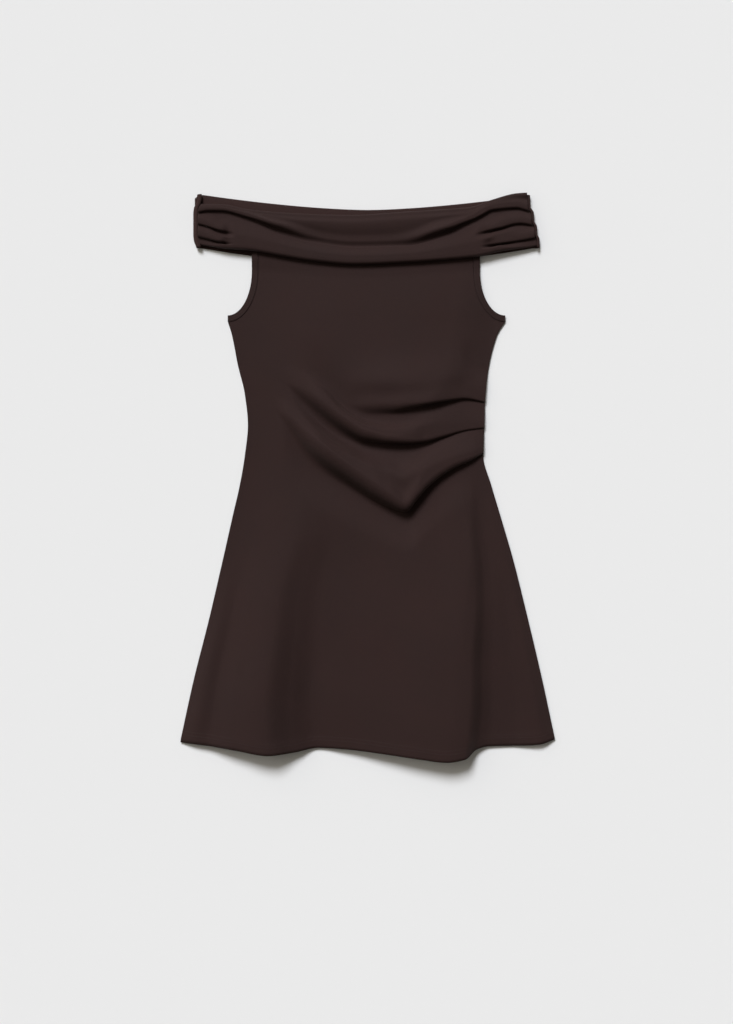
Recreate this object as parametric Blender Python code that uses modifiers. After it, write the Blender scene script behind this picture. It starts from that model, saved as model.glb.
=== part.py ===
# A short knitted dress laid flat: a folded band round the upper arms, a fitted bodice with three
# pleats in one side seam, and a flared skirt whose hem rises in soft waves.
#
# Sizes are in millimetres. X runs across the dress, Y up it towards the neckline from the middle
# of its length, and Z up from the surface that it lies on. Every piece is a sheet of cloth: a grid
# of points on the middle of the cloth, thickened by a Solidify modifier.

import bpy
import numpy as np

# Cloth

MM = 0.001
CLOTH = 1.2
BINDING_CLOTH = 1.6
SEAM_GAP = 0.3
BAND_SEAM_GAP = 0.45
LAYER_GAP = 0.35
ON_FLOOR = CLOTH / 2
NEXT_LAYER = CLOTH + LAYER_GAP

# Side seams: how far the seams lie from the middle line at each height

SIDE_NAMES = ("up", "left", "right")
SIDE_ROWS = (
    (227, -203.0, 200.0),
    (208, -197.1, 188.4),
    (164, -188.4, 176.7),
    (121, -178.2, 170.9),
    (77, -173.8, 169.4),
    (33, -178.2, 168.0),
    (-10, -185.5, 179.6),
    (-54, -195.6, 192.7),
    (-119, -210.2, 211.6),
    (-207, -230.5, 233.4),
    (-294, -252.4, 253.8),
    (-381, -271.6, 272.4),
)

# Armholes: a quarter of an ellipse from the underarm up to a straight edge

ARMHOLE_TOP = 300.0
ARMHOLE_DEPTH = 64.0
ARMHOLE_WIDTH = {"left": 35.0, "right": 37.0}
UNDERARM = {"left": -203.0, "right": 200.0}
BINDING_WIDTH = 9.0
NECK_SIDE = 352.0
NECK_DIP = 13.0
NECK_HALF_WIDTH = 160.0
NECK_SLOPE = 0.06
BACK_NECK = 350.0
BACK_TOP_LEVELS = (333.0, 316.0)
BACK_HEM_INSET = 2.0
BINDING_STEP_BELOW = 20.0
BINDING_STEP_LENGTH = 15.0

# Hem: a row for each crest, dip and corner, across from one side seam (0) to the other (1)

HEM_NAMES = ("across", "up", "height")
HEM_ROWS = (
    (0.000, -384.0, 2.2),
    (0.066, -387.8, 7.0),
    (0.148, -392.6, 19.0),
    (0.236, -398.4, 28.0),
    (0.306, -396.5, 17.0),
    (0.367, -391.8, 4.5),
    (0.439, -393.6, 7.0),
    (0.545, -399.1, 19.0),
    (0.637, -403.6, 31.0),
    (0.708, -407.3, 35.0),
    (0.756, -403.9, 29.0),
    (0.790, -392.6, 13.0),
    (0.823, -389.4, 3.4),
    (0.875, -388.9, 2.7),
    (0.920, -388.3, 5.5),
    (0.958, -386.3, 9.0),
    (1.000, -379.8, 2.2),
)
HEM_WAVE_REACH = 300.0
HEM_WAVE_FADE = 1.6

# How high the front stands over its edges between the side seams

PILLOW_NAMES = ("up", "height")
PILLOW_ROWS = (
    (352, 0.0),
    (312, 0.2),
    (290, 2.2),
    (235, 5.2),
    (160, 7.0),
    (60, 8.5),
    (-60, 9.5),
    (-200, 9.0),
    (-400, 8.0),
)
PILLOW_RIM = 0.17

# Dips that press the front towards the back: where each runs, how much it presses, how wide it is

DIP_NAMES = ("up", "across", "press", "width")
DIPS = {
    "right_flare": (
        (40, 1.000, 0.6, 0.050),
        (-54, 0.942, 0.9, 0.055),
        (-157, 0.883, 0.85, 0.065),
        (-276, 0.838, 0.8, 0.070),
        (-390, 0.850, 0.3, 0.060),
    ),
    "left_wave": (
        (-87, 0.374, 0.0, 0.10),
        (-217, 0.313, 0.25, 0.10),
        (-305, 0.289, 0.40, 0.09),
        (-365, 0.326, 0.30, 0.08),
        (-400, 0.367, 0.00, 0.07),
    ),
    "seam_crease": (
        (200, 0.915, 0.0, 0.05),
        (170, 0.935, 0.4, 0.05),
        (140, 0.972, 0.5, 0.04),
        (116, 0.992, 0.3, 0.03),
    ),
}

# Side pleats: the fold edge's height across the front, how far the cloth laps under it, how far
# it turns (180 is a full fold, less is an open trough), its bend radius, and the trough's height

PLEAT_NAMES = ("across", "up", "lap", "turn", "bend", "low")
PLEATS = (
    (
        (0.000, 172.0, 3.0, 0.0, 8.0, 8.0),
        (0.200, 159.0, 3.0, 0.0, 8.0, 8.0),
        (0.340, 114.0, 3.0, 0.0, 8.0, 8.0),
        (0.460, 94.0, 3.0, 12.0, 8.0, 7.5),
        (0.610, 96.0, 4.0, 45.0, 5.0, 6.0),
        (0.732, 104.7, 5.0, 95.0, 2.2, 4.8),
        (0.847, 112.0, 8.0, 172.0, 1.2, 3.4),
        (0.915, 115.0, 11.0, 180.0, 1.1, 2.7),
        (1.000, 110.5, 13.0, 180.0, 1.1, 2.2),
    ),
    (
        (0.000, 152.0, 3.0, 0.0, 9.0, 8.0),
        (0.200, 142.0, 3.0, 10.0, 9.0, 7.5),
        (0.270, 112.0, 4.0, 28.0, 9.0, 6.5),
        (0.340, 90.8, 4.5, 38.0, 8.0, 5.6),
        (0.408, 69.8, 5.0, 50.0, 6.0, 4.8),
        (0.478, 56.5, 5.0, 70.0, 4.0, 4.2),
        (0.580, 51.2, 6.0, 110.0, 2.2, 3.8),
        (0.681, 50.0, 8.0, 170.0, 1.3, 3.5),
        (0.747, 52.0, 10.0, 180.0, 1.2, 3.2),
        (0.828, 59.6, 12.0, 180.0, 1.1, 2.9),
        (0.917, 68.7, 14.0, 180.0, 1.1, 2.5),
        (1.000, 73.3, 15.0, 180.0, 1.1, 2.2),
    ),
    (
        (0.000, 120.0, 3.0, 0.0, 9.0, 8.0),
        (0.140, 93.0, 3.0, 6.0, 9.0, 7.5),
        (0.230, 51.2, 4.0, 18.0, 9.0, 6.8),
        (0.284, 32.6, 4.0, 26.0, 9.0, 6.0),
        (0.350, 14.5, 4.5, 32.0, 8.5, 5.4),
        (0.445, -11.6, 5.0, 40.0, 8.0, 4.8),
        (0.537, -34.9, 5.0, 48.0, 6.5, 4.2),
        (0.596, -46.5, 5.5, 60.0, 5.0, 3.8),
        (0.644, -50.0, 6.0, 95.0, 3.0, 3.6),
        (0.698, -30.3, 8.0, 140.0, 1.8, 3.4),
        (0.743, -14.0, 10.0, 175.0, 1.5, 3.2),
        (0.806, 2.3, 12.0, 180.0, 1.4, 3.0),
        (0.874, 15.1, 14.0, 180.0, 1.3, 2.7),
        (0.950, 26.2, 15.0, 180.0, 1.2, 2.4),
        (1.000, 36.4, 15.0, 180.0, 1.1, 2.2),
    ),
)
PLEAT_ROLL = (0.0, 2.0, 3.5)
PLEAT_EASE = 26.0
EASE_SHARE = 0.6
FOLD_SHOWS = 30.0
ROLL_SHOWS = 45.0
HALF_FOLD = 90.0
FULL_FOLD = 180.0
FOOT_LEDGE = 2.0

# Band: the folded cuff, laid round the upper arms. Its front goes over the chest and its back
# turns up round both ends to meet it.

BAND_LEFT = -245.5
BAND_NAMES = ("across", "top", "first", "second", "third", "low")
BAND_ROWS = (
    (0.000, 396.0, 384.3, 367.8, 349.5, 339.0),
    (0.030, 396.0, 387.0, 363.9, 346.0, 336.0),
    (0.067, 395.6, 387.0, 358.0, 341.5, 332.6),
    (0.147, 389.0, 378.0, 351.0, 338.5, 329.6),
    (0.242, 384.5, 362.0, 344.5, 334.0, 324.0),
    (0.333, 382.0, 347.0, 336.5, 327.5, 318.5),
    (0.460, 380.5, 338.5, 330.0, 321.5, 313.0),
    (0.615, 385.0, 341.0, 332.5, 324.5, 316.5),
    (0.732, 388.5, 358.0, 343.0, 330.5, 320.0),
    (0.825, 392.0, 374.5, 354.0, 336.0, 323.5),
    (0.895, 403.0, 388.5, 361.5, 339.5, 328.5),
    (0.967, 411.5, 391.0, 368.5, 345.0, 334.0),
    (1.000, 412.6, 386.5, 366.0, 348.0, 337.0),
)
BAND_WRAP = 2.4
BAND_END_SHIFT = 3.0
INNER_END_LOW = 240.0
INNER_END_SLANT = 0.19
INNER_EASE = 4.0
BAND_END_NAMES = ("up", "right")
BAND_END_ROWS = (
    (336, 245.0),
    (344, 244.6),
    (350, 241.6),
    (362, 241.0),
    (369, 237.2),
    (382, 236.4),
    (390, 231.8),
    (412, 230.8),
)
TUCK_NAMES = ("left_hold", "left_reach", "right_hold", "right_reach", "lap", "rest")
TUCKS = (
    (25.0, 130.0, 45.0, 115.0, 6.0, 26.0),
    (12.0, 48.0, 30.0, 78.0, 5.5, 0.0),
    (10.0, 42.0, 28.0, 70.0, 5.0, 0.0),
)
TUCK_BEND = 1.0
TUCK_OPEN_BEND = 2.5
TUCK_OPENS = 120.0
TUCK_SHOWS = 60.0
TUCK_SHORTEST_LAP = 2.0
TUCK_EASE = 6.0
TUCK_LEDGE = 1.0
BAND_EASE = 60.0
BAND_EDGE_EASE = 5.0
BAND_END_RISE = 3.4
BAND_BROW_MID = 10.6
BAND_ROLL_SKEW = 0.85
BAND_END_DECK = 8.6
BAND_MID_DECK = 6.7
BAND_TOP_RISE = 2.3
BAND_ROLL_RISE = 5.2
BAND_UNDER_MID = 6.9
BAND_UNDER_WIDTH = 9.0
LINING_STEP = 2.2
BACK_TOP_DIP = 388.8
BACK_TOP_RISE = 22.0
BACK_TOP_CURVE = 1.6
BACK_LOW_DIP = 312.0
BACK_LOW_RISE = 22.0
BAND_HALF = 240.0
STEP_DOWN = 20.0
STEP_CLEAR = 3.0

# Grid counts

FRONT_COLUMNS = 28
BACK_COLUMNS = 10
BAND_COLUMNS = 22
BAND_FLAT_COLUMNS = 11
BAND_EVEN_SHARE = 0.35
CHEST_STEPS = 3
ARMHOLE_STEPS = 6
BEND_STEPS = 2
PLEAT_STRIPS = (6, 5, 6)
SKIRT_STRIPS = 12
TUCK_STRIPS = 3
BAND_EDGE_STRIPS = 4
HALF_TURN_STEPS = 5

# Colours, as seen in even light

DARK_BROWN = (0.040, 0.027, 0.024, 1.0)
MID_BROWN = (0.045, 0.031, 0.028, 1.0)
CLOTH_ROUGHNESS = 0.85


def smooth(t):
    """An even S-curve from 0 to 1."""
    t = np.clip(t, 0.0, 1.0)
    return t * t * (3.0 - 2.0 * t)


def hump(t):
    """A soft hump of height 1 at t = 0 that reaches 0 at t = -1 and 1."""
    return np.maximum(0.0, 1.0 - t * t) ** 2


def mix(a, b, share):
    """a where share is 0, b where it is 1."""
    return a + (b - a) * share


def column(rows, names, name):
    """One named column of a table, as an array."""
    return np.array([row[names.index(name)] for row in rows], dtype=float)


def through(rows, names, along, name, at):
    """A smooth curve through a table's rows that never overshoots them."""
    x = column(rows, names, along)
    y = column(rows, names, name)
    if x[0] > x[-1]:
        x, y = x[::-1], y[::-1]
    step = np.diff(x)
    slope = np.diff(y) / step
    tangent = np.zeros_like(y)
    same = slope[:-1] * slope[1:] > 0
    near, far = slope[:-1][same], slope[1:][same]
    tangent[1:-1][same] = 2.0 * near * far / (near + far)
    tangent[0], tangent[-1] = slope[0], slope[-1]
    at = np.clip(at, x[0], x[-1])
    i = np.clip(np.searchsorted(x, at) - 1, 0, len(step) - 1)
    t = (at - x[i]) / step[i]
    start = (1 + 2 * t) * (1 - t) ** 2 * y[i] + t * t * (3 - 2 * t) * y[i + 1]
    return start + step[i] * t * (1 - t) * ((1 - t) * tangent[i] - t * tangent[i + 1])


def armhole_edge(side, inset, angle):
    """A point of an armhole's ellipse, moved in from its edge by inset; angle 90 is the underarm."""
    outward = -1.0 if side == "left" else 1.0
    turn = np.radians(angle)
    x = UNDERARM[side] - outward * (ARMHOLE_WIDTH[side] + inset) * np.cos(turn)
    return x, ARMHOLE_TOP - (ARMHOLE_DEPTH + inset) * np.sin(turn)


def panel_edge(side, up):
    """Where a panel's edge lies: the side seam, or the armhole above the underarm."""
    inset = BINDING_WIDTH + SEAM_GAP
    depth = ARMHOLE_DEPTH + inset
    seam = through(SIDE_ROWS, SIDE_NAMES, "up", side, up)
    share = np.clip((ARMHOLE_TOP - up) / depth, 0.0, 1.0)
    armhole, _ = armhole_edge(side, inset, np.degrees(np.arcsin(share)))
    return np.where(up > ARMHOLE_TOP - depth, armhole, seam)


def neck(x):
    """The height of the front neckline, and of the band's inner edge beyond it."""
    side = np.minimum(1.0, np.abs(x) / NECK_HALF_WIDTH)
    beyond = np.maximum(0.0, np.abs(x) - NECK_HALF_WIDTH)
    return NECK_SIDE - NECK_DIP * (1.0 - side * side) + NECK_SLOPE * beyond


def band_low(x):
    """The lower edge of the back of the band."""
    return BACK_LOW_DIP + BACK_LOW_RISE * (np.abs(x) / BAND_HALF) ** 2


def band_top(x):
    """The top fold of the back of the band."""
    return BACK_TOP_DIP + BACK_TOP_RISE * (np.abs(x) / BAND_HALF) ** BACK_TOP_CURVE


def back_height(x, up):
    """The back panel lies on the floor, and on the band's back where that runs under it."""
    start = band_low(x) - STEP_CLEAR - STEP_DOWN
    return ON_FLOOR + LINING_STEP * smooth((up - start) / STEP_DOWN)


def front_floor(x, up):
    """The height of the front panel where it lies on the back panel."""
    below = ARMHOLE_TOP - ARMHOLE_DEPTH - BINDING_STEP_BELOW
    armhole = smooth((up - below) / BINDING_STEP_LENGTH)
    return back_height(x, up) + NEXT_LAYER + (BINDING_CLOTH - CLOTH) * armhole


def front_height(across, x, up):
    """The front panel before its pleats: its pillow, its dips, and the waves of its hem."""
    floor = front_floor(x, up)
    rim = smooth(across / PILLOW_RIM) * smooth((1.0 - across) / PILLOW_RIM)
    rise = through(PILLOW_ROWS, PILLOW_NAMES, "up", "height", up) * rim
    for rows in DIPS.values():
        middle = through(rows, DIP_NAMES, "up", "across", up)
        press = through(rows, DIP_NAMES, "up", "press", up)
        width = through(rows, DIP_NAMES, "up", "width", up)
        inside = (up > rows[-1][0] - 1.0) & (up < rows[0][0] + 1.0)
        rise = rise * (1.0 - press * inside * hump((across - middle) / width))
    edge = through(HEM_ROWS, HEM_NAMES, "across", "up", across)
    wave = through(HEM_ROWS, HEM_NAMES, "across", "height", across)
    near = np.clip(1.0 - (up - edge) / HEM_WAVE_REACH, 0.0, 1.0) ** HEM_WAVE_FADE
    return mix(floor + rise, wave, near)


def fold(lap, turn, bend, low, edge):
    """Heights up the dress and over the floor of one fold, from its upper layer down to its lower.

    The cloth bends down and back through the turn, runs straight for the lap, and bends out again.
    """
    turn = np.radians(turn)
    reach = np.where(turn > np.pi / 2, bend, bend * np.sin(turn) + 0.5 * lap * np.cos(turn))
    drop = 2.0 * bend * (1.0 - np.cos(turn)) + lap * np.sin(turn)
    down = -edge - reach
    up_points, height_points = [], []
    for i in range(BEND_STEPS + 1):
        a = turn * i / BEND_STEPS
        up_points.append(-(down + bend * np.sin(a)))
        height_points.append(low + drop - bend * (1.0 - np.cos(a)))
    down = down + bend * np.sin(turn) + lap * np.cos(turn)
    foot = low + bend * (1.0 - np.cos(turn))
    for i in range(BEND_STEPS, -1, -1):
        a = turn * i / BEND_STEPS
        up_points.append(-(down + bend * (np.sin(turn) - np.sin(a))))
        height_points.append(foot - bend * (np.cos(a) - np.cos(turn)))
    return np.array(up_points), np.array(height_points), drop


def strip(start, end, levels, plateaus, ease, count, height_at, roll):
    """Rows of cloth between two folds, that leave one at its low layer and reach the next's top."""
    share = (np.arange(1, count) / count)[:, None]
    up = mix(start, end, share)
    length = np.maximum(start - end, 1.0)
    ease = np.minimum(ease, EASE_SHARE * length)
    leave = 1.0 - smooth((start - up - plateaus[0]) / ease)
    meet = 1.0 - smooth((up - end - plateaus[1]) / ease)
    base = height_at(up) + roll * np.sin(np.pi * share)
    free = (1.0 - leave) * (1.0 - meet)
    total = leave + meet + free
    return up, (levels[0] * leave + levels[1] * meet + base * free) / total


def front_points(columns=FRONT_COLUMNS):
    """The front panel's grid, from the neckline over the three pleats to the hem."""
    across = np.linspace(0.0, 1.0, columns)[None, :]

    def x_at(up):
        return mix(panel_edge("left", up), panel_edge("right", up), across)

    def height_at(up):
        return front_height(across, x_at(up), up)

    guess = np.full_like(across, NECK_SIDE)
    top = neck(x_at(guess)) - SEAM_GAP
    rows = [mix(top, ARMHOLE_TOP, i / CHEST_STEPS) for i in range(CHEST_STEPS)]
    depth = ARMHOLE_DEPTH + BINDING_WIDTH + SEAM_GAP
    turns = np.radians(np.linspace(0.0, 90.0, ARMHOLE_STEPS + 1))
    rows += [np.full_like(across, ARMHOLE_TOP - depth * np.sin(a)) for a in turns]
    ups = [np.concatenate(rows)]
    heights = [height_at(ups[0])]
    start, level, plateau = rows[-1], heights[0][-1:], np.zeros_like(across)
    for rows, count, roll in zip(PLEATS, PLEAT_STRIPS, PLEAT_ROLL):
        edge, lap, turn, bend, low = (
            through(rows, PLEAT_NAMES, "across", name, across) for name in PLEAT_NAMES[1:]
        )
        open_height = height_at(edge)
        low = mix(open_height, np.minimum(low, open_height), smooth(turn / FOLD_SHOWS))
        lows = np.maximum(low, front_floor(x_at(edge), edge))
        fold_up, fold_height, drop = fold(lap, turn, bend, lows, edge)
        full = smooth((turn - HALF_FOLD) / HALF_FOLD)
        rim = smooth(across / PILLOW_RIM) * smooth((1.0 - across) / PILLOW_RIM)
        up, height = strip(
            start, fold_up[0], (level, lows + drop), (plateau, full * (lap + 2 * bend)),
            PLEAT_EASE, count, height_at, roll * rim * smooth(turn / ROLL_SHOWS),
        )
        ups += [up, fold_up[:, 0, :]]
        heights += [height, fold_height[:, 0, :]]
        start, level = fold_up[-1], lows
        plateau = full * (lap + bend + FOOT_LEDGE)
    hem = through(HEM_ROWS, HEM_NAMES, "across", "up", across)
    up, height = strip(
        start, hem, (level, height_at(hem)), (plateau, 0.0 * plateau),
        PLEAT_EASE, SKIRT_STRIPS, height_at, 0.0,
    )
    ups += [up, hem]
    heights += [height, height_at(hem)]
    up = np.concatenate(ups)
    height = np.concatenate(heights)
    return np.stack([x_at(up), up, height], axis=-1)


def back_points(columns=BACK_COLUMNS):
    """The back panel's grid: flat on the floor but for its top, which lies on the band's back."""
    across = np.linspace(0.0, 1.0, columns)[None, :]
    ones = np.ones_like(across)
    depth = ARMHOLE_DEPTH + BINDING_WIDTH + SEAM_GAP
    turns = np.radians(np.linspace(0.0, 90.0, ARMHOLE_STEPS + 1))
    levels = [BACK_NECK - SEAM_GAP / 2, *BACK_TOP_LEVELS]
    levels += [ARMHOLE_TOP - depth * np.sin(a) for a in turns]
    levels += list(column(SIDE_ROWS, SIDE_NAMES, "up")[1:-1])
    up = np.concatenate([ones * level for level in levels])
    hem = through(HEM_ROWS, HEM_NAMES, "across", "up", across) + BACK_HEM_INSET
    up = np.concatenate([up, hem])
    x = mix(panel_edge("left", up), panel_edge("right", up), across)
    return np.stack([x, up, back_height(x, up)], axis=-1)


def binding_points(side, layer):
    """One armhole's binding on the front or the back: a strip beside the panel's edge."""
    insets = np.linspace(BINDING_WIDTH, 0.0, 3)[None, :]
    turns = np.linspace(0.0, 90.0, ARMHOLE_STEPS + 1)[:, None]
    x, up = armhole_edge(side, insets, turns)
    top = neck(x[:1]) - SEAM_GAP if layer == "front" else BACK_NECK - SEAM_GAP + 0.0 * x[:1]
    straight = np.linspace(0.0, 1.0, 3, endpoint=False)[:, None]
    up = np.concatenate([mix(top, ARMHOLE_TOP, straight), up])
    x = np.concatenate([x[:1] + 0.0 * straight, x])
    height = front_floor(x, up) if layer == "front" else back_height(x, up)
    height = height + (BINDING_CLOTH - CLOTH) / 2
    points = np.stack([x, up, height], axis=-1)
    return points if side == "right" else points[:, ::-1]


def band_end(up):
    """Where the band's two halves meet at the right, in steps from pleat to pleat."""
    return through(BAND_END_ROWS, BAND_END_NAMES, "up", "right", up)


def inner_end(up):
    """Where the band's hidden inner layers meet at the right, on a straight slant."""
    return INNER_END_LOW - INNER_END_SLANT * (up - BAND_END_ROWS[1][0])


def band_front_points(columns=BAND_COLUMNS):
    """The front of the band: inner layer, top fold, three tucks from each end, rolled lower edge."""
    across = 0.5 - 0.5 * np.cos(np.pi * np.linspace(0.0, 1.0, columns))
    across = mix(across, np.linspace(0.0, 1.0, columns), BAND_EVEN_SHARE)[None, :]
    top, first, second, third, low = (
        through(BAND_ROWS, BAND_NAMES, "across", name, across) for name in BAND_NAMES[1:]
    )

    def x_at(up):
        return mix(BAND_LEFT, band_end(up), across)

    x = x_at(mix(top, low, 0.5))
    from_left = x - BAND_LEFT
    from_right = band_end(mix(top, low, 0.5)) - x
    middle = smooth(np.minimum(from_left, from_right) / BAND_EASE)
    deck = mix(BAND_END_DECK, BAND_MID_DECK, middle)
    inner_edge = neck(x) + SEAM_GAP / 2
    on_panel = front_floor(x, inner_edge)
    inside = mix(BAND_END_DECK - LINING_STEP, on_panel, middle)
    crown = deck + mix(BAND_END_RISE, BAND_TOP_RISE, middle)

    def height_at(up):
        above = np.clip((up - first) / (top - first), 0.0, 1.0)
        below = np.clip((first - up) / (first - low), 0.0, 1.0)
        roll = BAND_ROLL_RISE * middle * np.sin(np.pi * below**BAND_ROLL_SKEW)
        return deck + BAND_TOP_RISE * middle * smooth(above) + roll

    turn_radius = (crown - inside) / 2
    crest = top - turn_radius
    ups = [mix(inner_edge, crest, share) for share in (0.0, 0.5)]
    heights = [inside + 0.0 * up for up in ups]
    for angle in np.radians(np.linspace(0.0, 180.0, HALF_TURN_STEPS)):
        ups.append(crest + turn_radius * np.sin(angle))
        heights.append(inside + turn_radius * (1.0 - np.cos(angle)))
    ups = [np.concatenate(ups)]
    heights = [np.concatenate(heights)]
    start, level, plateau = crest, crown, 0.0 * crest
    for edge, tuck in zip((first, second, third), TUCKS):
        values = dict(zip(TUCK_NAMES, tuck))
        left = smooth(
            (from_left - values["left_hold"]) / (values["left_reach"] - values["left_hold"])
        )
        right = smooth(
            (from_right - values["right_hold"]) / (values["right_reach"] - values["right_hold"])
        )
        turn = mix(FULL_FOLD, values["rest"], np.minimum(left, right))
        shorter = values["lap"] * (1.0 - 0.5 * np.minimum(left, right))
        lap = np.maximum(TUCK_SHORTEST_LAP, shorter)
        bend = mix(TUCK_BEND, TUCK_OPEN_BEND, smooth((FULL_FOLD - turn) / TUCK_OPENS))
        lows = mix(height_at(edge), deck, smooth(turn / TUCK_SHOWS))
        fold_up, fold_height, drop = fold(lap, turn, bend, lows, edge)
        full = smooth((turn - HALF_FOLD) / HALF_FOLD)
        up, height = strip(
            start, fold_up[0], (level, lows + drop), (plateau, full * (lap + bend)),
            TUCK_EASE, TUCK_STRIPS, height_at, 0.0,
        )
        ups += [up, fold_up[:, 0, :]]
        heights += [height, fold_height[:, 0, :]]
        start, level = fold_up[-1], lows
        plateau = full * (lap + bend + TUCK_LEDGE)
    under = mix(BAND_END_DECK - LINING_STEP, BAND_UNDER_MID, middle)
    brow = mix(BAND_END_DECK, BAND_BROW_MID, middle)
    edge_radius = (brow - under) / 2
    end = low + edge_radius
    up, height = strip(
        start, end, (level, brow), (plateau, 0.0 * plateau),
        BAND_EDGE_EASE, BAND_EDGE_STRIPS, height_at, 0.0,
    )
    ups.append(up)
    heights.append(height)
    for angle in np.radians(np.linspace(0.0, 180.0, HALF_TURN_STEPS)):
        ups.append(end - edge_radius * np.sin(angle))
        heights.append(brow - edge_radius * (1.0 - np.cos(angle)))
    ups.append(low + BAND_UNDER_WIDTH)
    heights.append(under)
    up = np.concatenate(ups)
    height = np.concatenate(heights)
    x = x_at(up)
    hidden = [0, 1, 2, -1]
    x[hidden] = mix(BAND_LEFT, inner_end(up[hidden]), across)
    return np.stack([x, up, height], axis=-1)


def band_back_points():
    """The back of the band: outer layer on the floor, top fold, inner layer, both ends turned up."""
    steps = column(BAND_END_ROWS, BAND_END_NAMES, "up")[1:-1]
    outer_low, outer_top = band_low(BAND_HALF), band_top(BAND_HALF) - LINING_STEP / 2
    shares = (steps - outer_low) / (outer_top - outer_low)
    rows = [("outer", share, 0.0) for share in (0.0, *shares, 1.0)]
    rows += [("outer", 1.0, turn) for turn in (45.0, 90.0, 135.0, 180.0)]
    rows += [("inner", share, 180.0) for share in (0.75, 0.5, 0.25, 0.0)]
    flat = np.linspace(0.0, 1.0, BAND_FLAT_COLUMNS)[1:-1]
    wrap = np.radians(np.linspace(180.0, 0.0, HALF_TURN_STEPS))
    radius = (BAND_END_DECK - ON_FLOOR) / 2
    left = BAND_LEFT - BAND_SEAM_GAP
    grid = []
    for layer, share, turn in rows:
        lift = LINING_STEP / 2 * (1.0 - np.cos(np.radians(turn)))
        bulge = LINING_STEP / 2 * np.sin(np.radians(turn))
        if layer == "outer":
            right = band_end(mix(outer_low, outer_top, share) - BAND_END_SHIFT) + BAND_SEAM_GAP
        else:
            right = inner_end(mix(BACK_NECK, outer_top, share)) + BAND_SEAM_GAP
        around = radius - lift
        xs = np.concatenate([
            [left],
            left - BAND_WRAP - around * np.sin(wrap),
            mix(left - BAND_WRAP, right, flat),
            right + around * np.sin(wrap[::-1]),
        ])
        zs = ON_FLOOR + radius - around * np.concatenate([
            [-1.0], np.cos(wrap), np.ones_like(flat), np.cos(wrap[::-1]),
        ])
        reach = np.clip(xs, -BAND_HALF, BAND_HALF)
        edge = band_low(reach)
        if layer == "inner":
            edge = BACK_NECK + SEAM_GAP / 2 + INNER_EASE * smooth(np.abs(reach) / BAND_HALF)
        up = mix(edge, band_top(reach) - LINING_STEP / 2, share) + bulge
        grid.append(np.stack([xs, up, zs], axis=-1))
    return np.array(grid)


def clear_scene():
    """Removes what the scene already holds."""
    for old in list(bpy.data.objects):
        bpy.data.objects.remove(old, do_unlink=True)


def cloth_material(name, colour):
    """A matt cloth of one colour."""
    material = bpy.data.materials.new(name)
    material.use_nodes = True
    shader = material.node_tree.nodes["Principled BSDF"]
    shader.inputs["Base Color"].default_value = colour
    shader.inputs["Roughness"].default_value = CLOTH_ROUGHNESS
    shader.inputs["Metallic"].default_value = 0.0
    material.diffuse_color = colour
    return material


def cloth_piece(name, points, wall, colour, collection, even=True):
    """A piece of cloth: a sheet through the grid of points, thickened to both sides."""
    rows, columns, _ = points.shape
    index = np.arange(rows * columns).reshape(rows, columns)
    corners = (index[:-1, :-1], index[1:, :-1], index[1:, 1:], index[:-1, 1:])
    faces = np.stack([corner.ravel() for corner in corners], axis=-1)
    mesh = bpy.data.meshes.new(name)
    mesh.from_pydata((points.reshape(-1, 3) * MM).tolist(), [], faces.tolist())
    mesh.materials.append(cloth_material(name, colour))
    mesh.shade_smooth()
    piece = bpy.data.objects.new(name, mesh)
    collection.objects.link(piece)
    thick = piece.modifiers.new("cloth", "SOLIDIFY")
    thick.thickness = wall * MM
    thick.offset = 0.0
    thick.use_even_offset = even
    return piece


def stand_on_origin(pieces):
    """Moves every piece so that the middle of the underside of them all is the origin."""
    bpy.context.view_layer.update()
    graph = bpy.context.evaluated_depsgraph_get()
    corners = []
    for piece in pieces:
        evaluated = piece.evaluated_get(graph)
        corners += [piece.matrix_world @ vertex.co for vertex in evaluated.data.vertices]
    corners = np.array(corners)
    low, high = corners.min(axis=0), corners.max(axis=0)
    shift = np.array([(low[0] + high[0]) / 2, (low[1] + high[1]) / 2, low[2]])
    for piece in pieces:
        mesh = piece.data
        points = np.empty(len(mesh.vertices) * 3)
        mesh.vertices.foreach_get("co", points)
        mesh.vertices.foreach_set("co", (points.reshape(-1, 3) - shift).ravel())
        mesh.update()
    print("moved by", shift * 1000, "size", (high - low) * 1000)


def main():
    clear_scene()
    dress = bpy.data.collections.new("band_neck_dress")
    bpy.context.scene.collection.children.link(dress)
    pieces = [
        cloth_piece("back_panel", back_points(), CLOTH, MID_BROWN, dress),
        cloth_piece("front_panel", front_points(), CLOTH, DARK_BROWN, dress),
        cloth_piece("band_back", band_back_points(), CLOTH, MID_BROWN, dress, even=False),
        cloth_piece("band_front", band_front_points(), CLOTH, DARK_BROWN, dress),
    ]
    for side in ("left", "right"):
        for layer in ("front", "back"):
            name = f"armhole_binding_{side}_{layer}"
            points = binding_points(side, layer)
            pieces.append(cloth_piece(name, points, BINDING_CLOTH, DARK_BROWN, dress))
    stand_on_origin(pieces)


main()
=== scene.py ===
# %% [markdown]
# A short knitted dress, laid flat on a white table and seen from straight above.
#
# It is a smooth double knit in dark brown, with a wide band that sits round the upper arms, a
# fitted bodice with bound armholes, three pleats that fan out of one side seam at the waist, and
# a flared skirt whose hem rises in soft waves. This lesson rebuilds each piece of cloth as a fine
# sheet on the plain solid that it replaces, then sews, colours and lights it.

# %% Load the frame
import math

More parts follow.
